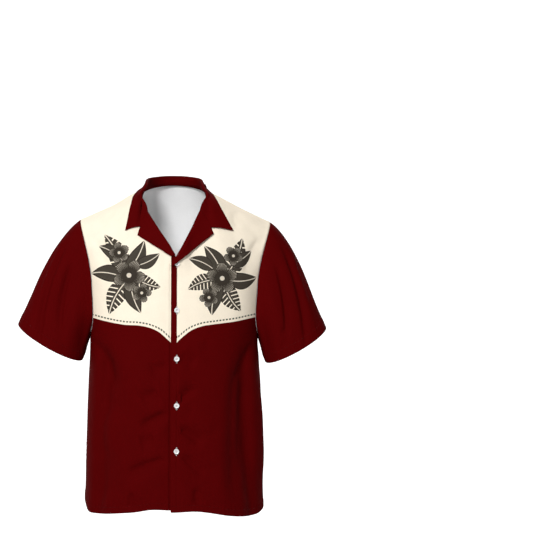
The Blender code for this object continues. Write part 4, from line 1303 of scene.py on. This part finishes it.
def button(number, place, normal):
    """A finer button on the CAD one's place, its thread, and the worked buttonhole behind it."""
    name = f"button_{number}"
    place, normal = Vector(place), Vector(normal)
    turn = normal.to_track_quat("Z", "Y")
    centre = place + normal * (LAYER_GAP + BUTTON_THICKNESS / 2)
    obj = put(f"pearl_{name}", button_mesh(name), "button", name, placed=(centre, turn))
    modified(
        obj, "turned", "SCREW", steps=BUTTON_SIDES, render_steps=BUTTON_SIDES,
        use_merge_vertices=True, merge_threshold=0.00001, use_smooth_shade=True,
    )
    obj.data.materials.append(PEARL)
    holes = []
    for k in range(4):
        angle = math.pi / 4 + math.pi / 2 * k
        offset = Vector((math.cos(angle), math.sin(angle), 0.0)) * HOLE_SPACING
        holes.append(centre + turn @ offset)
        bm = bmesh.new()
        bmesh.ops.create_cone(
            bm, cap_ends=True, segments=HOLE_SIDES, radius1=HOLE_RADIUS, radius2=HOLE_RADIUS,
            depth=BUTTON_THICKNESS * 2,
        )
        mesh = bpy.data.meshes.new(f"{name}_hole_{k}")
        bm.to_mesh(mesh)
        bm.free()
        cutter = new_object(mesh.name, mesh, CUTTERS)
        cutter.hide_render = True
        place_at(cutter, holes[-1], turn)
        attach(cutter, "root")
        modified(obj, f"hole_{k}", "BOOLEAN", operation="DIFFERENCE", object=cutter)

    face = normal * (BUTTON_THICKNESS / 2 - BUTTON_DISH + THREAD_OVER_DISH)
    parts = []
    for a, b in ((0, 1), (1, 0), (2, 3), (3, 2)):
        aside = (holes[b] - holes[a]).normalized().cross(normal) * THREAD_ASIDE
        ends = [holes[a], (holes[a] + holes[b]) / 2, holes[b]]
        ends = [ends[0], *ends, ends[2]]
        path = [p + face + aside + normal * h for p, h in zip(ends, THREAD_ARCH)]
        parts.append(tube_run(path, BUTTON_THREAD_RADIUS))
    up = Vector((0.0, 0.0, 1.0))
    up = (up - up.dot(normal) * normal).normalized()
    side = up.cross(normal)
    ground, lift = place + normal * 0.00025, normal * 0.0003
    straight = BUTTONHOLE_LENGTH - BUTTONHOLE_WIDTH
    radius = BUTTONHOLE_WIDTH / 2
    bend = math.pi * radius * 0.6
    half_round = straight + bend
    count = int(2 * half_round / BUTTONHOLE_PITCH)
    for k in range(count):
        at = 2 * half_round * k / count
        flip = -1.0 if at >= half_round else 1.0
        at %= half_round
        turned = math.pi * max(0.0, at - straight) / bend
        out = (side * math.cos(turned) + up * math.sin(turned)) * flip
        core = up * (min(at, straight) - straight / 2) * flip
        inner, outer = core + out * radius * 0.25, core + out * radius
        path = [ground + inner, ground + (inner + outer) / 2 + lift, ground + outer]
        parts.append(tube_run(path, BUTTONHOLE_THREAD_RADIUS, sides=5))
    sewing = put(f"thread_{name}", joined(f"thread_{name}", parts), "button")
    sewing.data.materials.append(WHITE_THREAD)


# --- the print's place on the cloth ---


def yoke_values(points, side):
    """Each point's height over the printed edge, its place along it, and its place past the strip."""
    x, z = points[..., 0], points[..., 2]
    table, out = YOKE_EDGE[side], x if side == "back" else np.abs(x)
    xs = np.linspace(table["x"][0], table["x"][-1], 400)
    edge = smooth(table, "z", xs)
    slope = np.gradient(edge, xs)
    run = np.concatenate([[0.0], np.cumsum(np.hypot(np.diff(xs), np.diff(edge)))])
    height = (z - np.interp(out, xs, edge)) / np.sqrt(1 + np.interp(out, xs, slope) ** 2)
    return {
        "over_yoke_edge": height,
        "along_yoke_edge": np.interp(out, xs, run),
        "past_strip": UNDER_STRIP_X - x if side == "right" else x - STRIP_X,
    }


# --- collar and lapels ---


def dressed_fold(sections, softly=0.0004):
    """The folded piece with the low unevenness of its cloth, and its lengths along and across."""
    along = run_from(sections, 0, 0)
    across = run_from(sections, 1, 0)
    normals = grid_normals(sections)
    leaf = np.arange(sections.shape[1]) >= FOLD_POINTS
    normals = normals * np.sign((normals[:, leaf] * (sections[:, leaf] - SHIRT_CENTRE)).sum())
    free = across[:, [-1]] - across
    wave = np.sin(along / 0.017) * np.sin(across / 0.013 + 1.1) + 0.5 * np.sin(along / 0.0071 + 0.4)
    depth = softly * wave * leaf * ease(across / 0.02)
    edge = -0.0005 * bell(free, 0.0012)
    press = 0.00035 * bell(free - 0.0045, 0.0018)
    return sections + normals * (depth + (edge + press) * leaf)[..., None], along, across


def build():
    raw = {"back": panel_grid("back", None)}
    for side in ("left", "right"):
        raw[side] = placket_shift(panel_grid("front", side), side)
    fronts = {side: raw[side] for side in ("left", "right")}

    inner = plain_cloth("cloth_inside", INSIDE, 0.85)
    maroon = plain_cloth("cloth_maroon", MAROON)
    printed = {
        side: printed_cloth(f"cloth_{side}_print", LEAVES.get(side), FLOWERS.get(side))
        for side in ("back", "left", "right")
    }
    stitch_parts = []
    sheets = {}
    for key in ("back", "left", "right"):
        face, side = ("back", None) if key == "back" else ("front", key)
        points, u, v = dressed_panel(raw[key], face, side)
        facing = points - level_centres(points)
        mesh = grid_mesh(f"cloth_{key}", points, u, v, facing, values=yoke_values(raw[key], key))
        node = "back" if key == "back" else f"front_{key}"
        obj = put(f"cloth_{node}", mesh, "shirt_cloth", node)
        sheets[key] = shell(obj, SHELL, printed[key], inner)
        line = line_on(points, v, HEM_WIDTH - STITCHES_IN)
        stitch_parts += stitches(line, lambda p: np.array([0.0, SIDE_SEAM_Y, p[2]]))
    for side in ("left", "right"):
        grid = sleeve_grid(armhole_loop(fronts, raw["back"], side), side)
        points, round_it, to_hem = dressed_sleeve(grid, side)
        facing = points - sleeve_centres(points)
        mesh = grid_mesh(f"cloth_sleeve_{side}", points, round_it, to_hem, facing, closed=True)
        obj = put(f"cloth_sleeve_{side}", mesh, "shirt_cloth", f"sleeve_{side}")
        sheets[f"sleeve_{side}"] = shell(obj, SHELL, maroon, inner)
        line = line_on(points, to_hem, SLEEVE_HEM_WIDTH - STITCHES_IN)
        middle = line.mean(axis=0)
        stitch_parts += stitches(line, lambda p, middle=middle: middle)
    sewn = put("hem_stitches", joined("hem_stitches", stitch_parts), "shirt_cloth")
    sewn.data.materials.append(MAROON_THREAD)

    tree = surface_tree(raw["back"], fronts["left"], fronts["right"])
    trees = {side: surface_tree(raw["back"], fronts[side]) for side in fronts}
    halves = {side: collar_half(side, raw["back"], fronts, trees[side]) for side in fronts}
    collar = np.concatenate([halves["right"][:0:-1], halves["left"]])
    pieces = {"collar": collar}
    for side in ("left", "right"):
        pieces[f"lapel_{side}"] = lapel_grid(side, fronts, trees[side])
    for node, sections in pieces.items():
        points, along, across = dressed_fold(sections)
        facing = np.zeros_like(points)
        facing[:, FOLD_POINTS:] = points[:, FOLD_POINTS:] - SHIRT_CENTRE
        mesh = grid_mesh(f"cloth_{node}", points, across, along, facing)
        obj = put(f"cloth_{node}", mesh, "shirt_cloth", node)
        sheets[node] = shell(obj, FOLDED_SHELL, maroon)

    for number, z in enumerate(BUTTON_Z, start=1):
        button(number, *nearest_out(tree, hit_from_front(tree, BUTTON_X, z)))
    return sheets


def aimed(obj, place, target):
    aim = Vector(target) - Vector(place)
    obj.location = place
    obj.rotation_euler = aim.to_track_quat("-Z", "Y").to_euler()
    return aim


def stage_and_light():
    """A pale seamless floor and backdrop, soft light all round, and the photograph's camera."""
    profile = [(-FLOOR_REACH, FLOOR_Z)]
    for k in range(BEND_STEPS + 1):
        angle = math.pi / 2 * k / BEND_STEPS
        up = FLOOR_Z + BEND_RADIUS * (1 - math.cos(angle))
        profile.append((BEND_Y + BEND_RADIUS * math.sin(angle), up))
    profile.append((BEND_Y + BEND_RADIUS, WALL_TOP_Z))
    verts = [(x, y, z) for y, z in profile for x in (-BACKDROP_SIDE, BACKDROP_SIDE)]
    faces = [(2 * k, 2 * k + 1, 2 * k + 3, 2 * k + 2) for k in range(len(profile) - 1)]
    backdrop = new_object("backdrop", new_mesh("backdrop", verts, faces))
    made, s, shader = new_material("pale_backdrop", 0.9, Emission_Color=(1.0, 1.0, 1.0, 1.0))
    place = s.place()
    pale = s.mix(s.noise(place, 3.0), (0.91, 0.91, 0.91, 1.0), (0.93, 0.93, 0.93, 1.0))
    s.put(shader.inputs["Base Color"], pale)
    wall = s.step(s.fed("ShaderNodeSeparateXYZ", place)[1] - WALL_Y, 1.0)
    s.put(shader.inputs["Emission Strength"], wall * BACKDROP_GLOW)
    backdrop.data.materials.append(made)

    world = bpy.data.worlds.new("studio")
    world.use_nodes = True
    world.node_tree.nodes["Background"].inputs[0].default_value = (1.0, 1.0, 1.0, 1.0)
    world.node_tree.nodes["Background"].inputs[1].default_value = WORLD_STRENGTH
    bpy.context.scene.world = world
    bpy.context.scene.view_settings.view_transform = "Standard"
    for name, energy, size, place, target in LIGHTS:
        light = bpy.data.lights.new(name, "AREA")
        light.energy, light.size = energy, size
        aimed(new_object(name, light), place, target)

    camera = new_object("camera", bpy.data.cameras.new("camera"))
    aim = aimed(camera, CAMERA_PLACE, CAMERA_AIM)
    camera.data.sensor_width = SENSOR_WIDTH
    camera.data.lens = SENSOR_WIDTH * aim.length / FRAME_WIDTH
    bpy.context.scene.camera = camera


VISIBLE = new_collection("shirt")
CUTTERS = new_collection("button_holes")
LEAF_INPUTS = ("cx", "cz", "cos", "sin", "length", "width", "split")
LEAF_GROUP = motif_group("leaf", LEAF_INPUTS, leaf_motif)
FLOWER_GROUP = motif_group("flower", ("cx", "cz", "turn", "radius"), flower_motif)
PEARL_COLOURS = ((0.80, 0.79, 0.80, 1.0), (0.97, 0.96, 0.95, 1.0))
PEARL_GLOSS = {"Coat_Weight": 0.5, "Specular_IOR_Level": 0.5}
PEARL = clouded("pearl", 0.22, (90.0, 90.0, 260.0), 3.0, *PEARL_COLOURS, **PEARL_GLOSS)
WHITE_THREAD = thread("white_thread", (0.88, 0.87, 0.85, 1.0))
MAROON_THREAD = thread("maroon_thread", (MAROON[0] * 1.25, MAROON[1] * 1.6, MAROON[2] * 1.6, 1.0))
SHEETS = build()
stage_and_light()
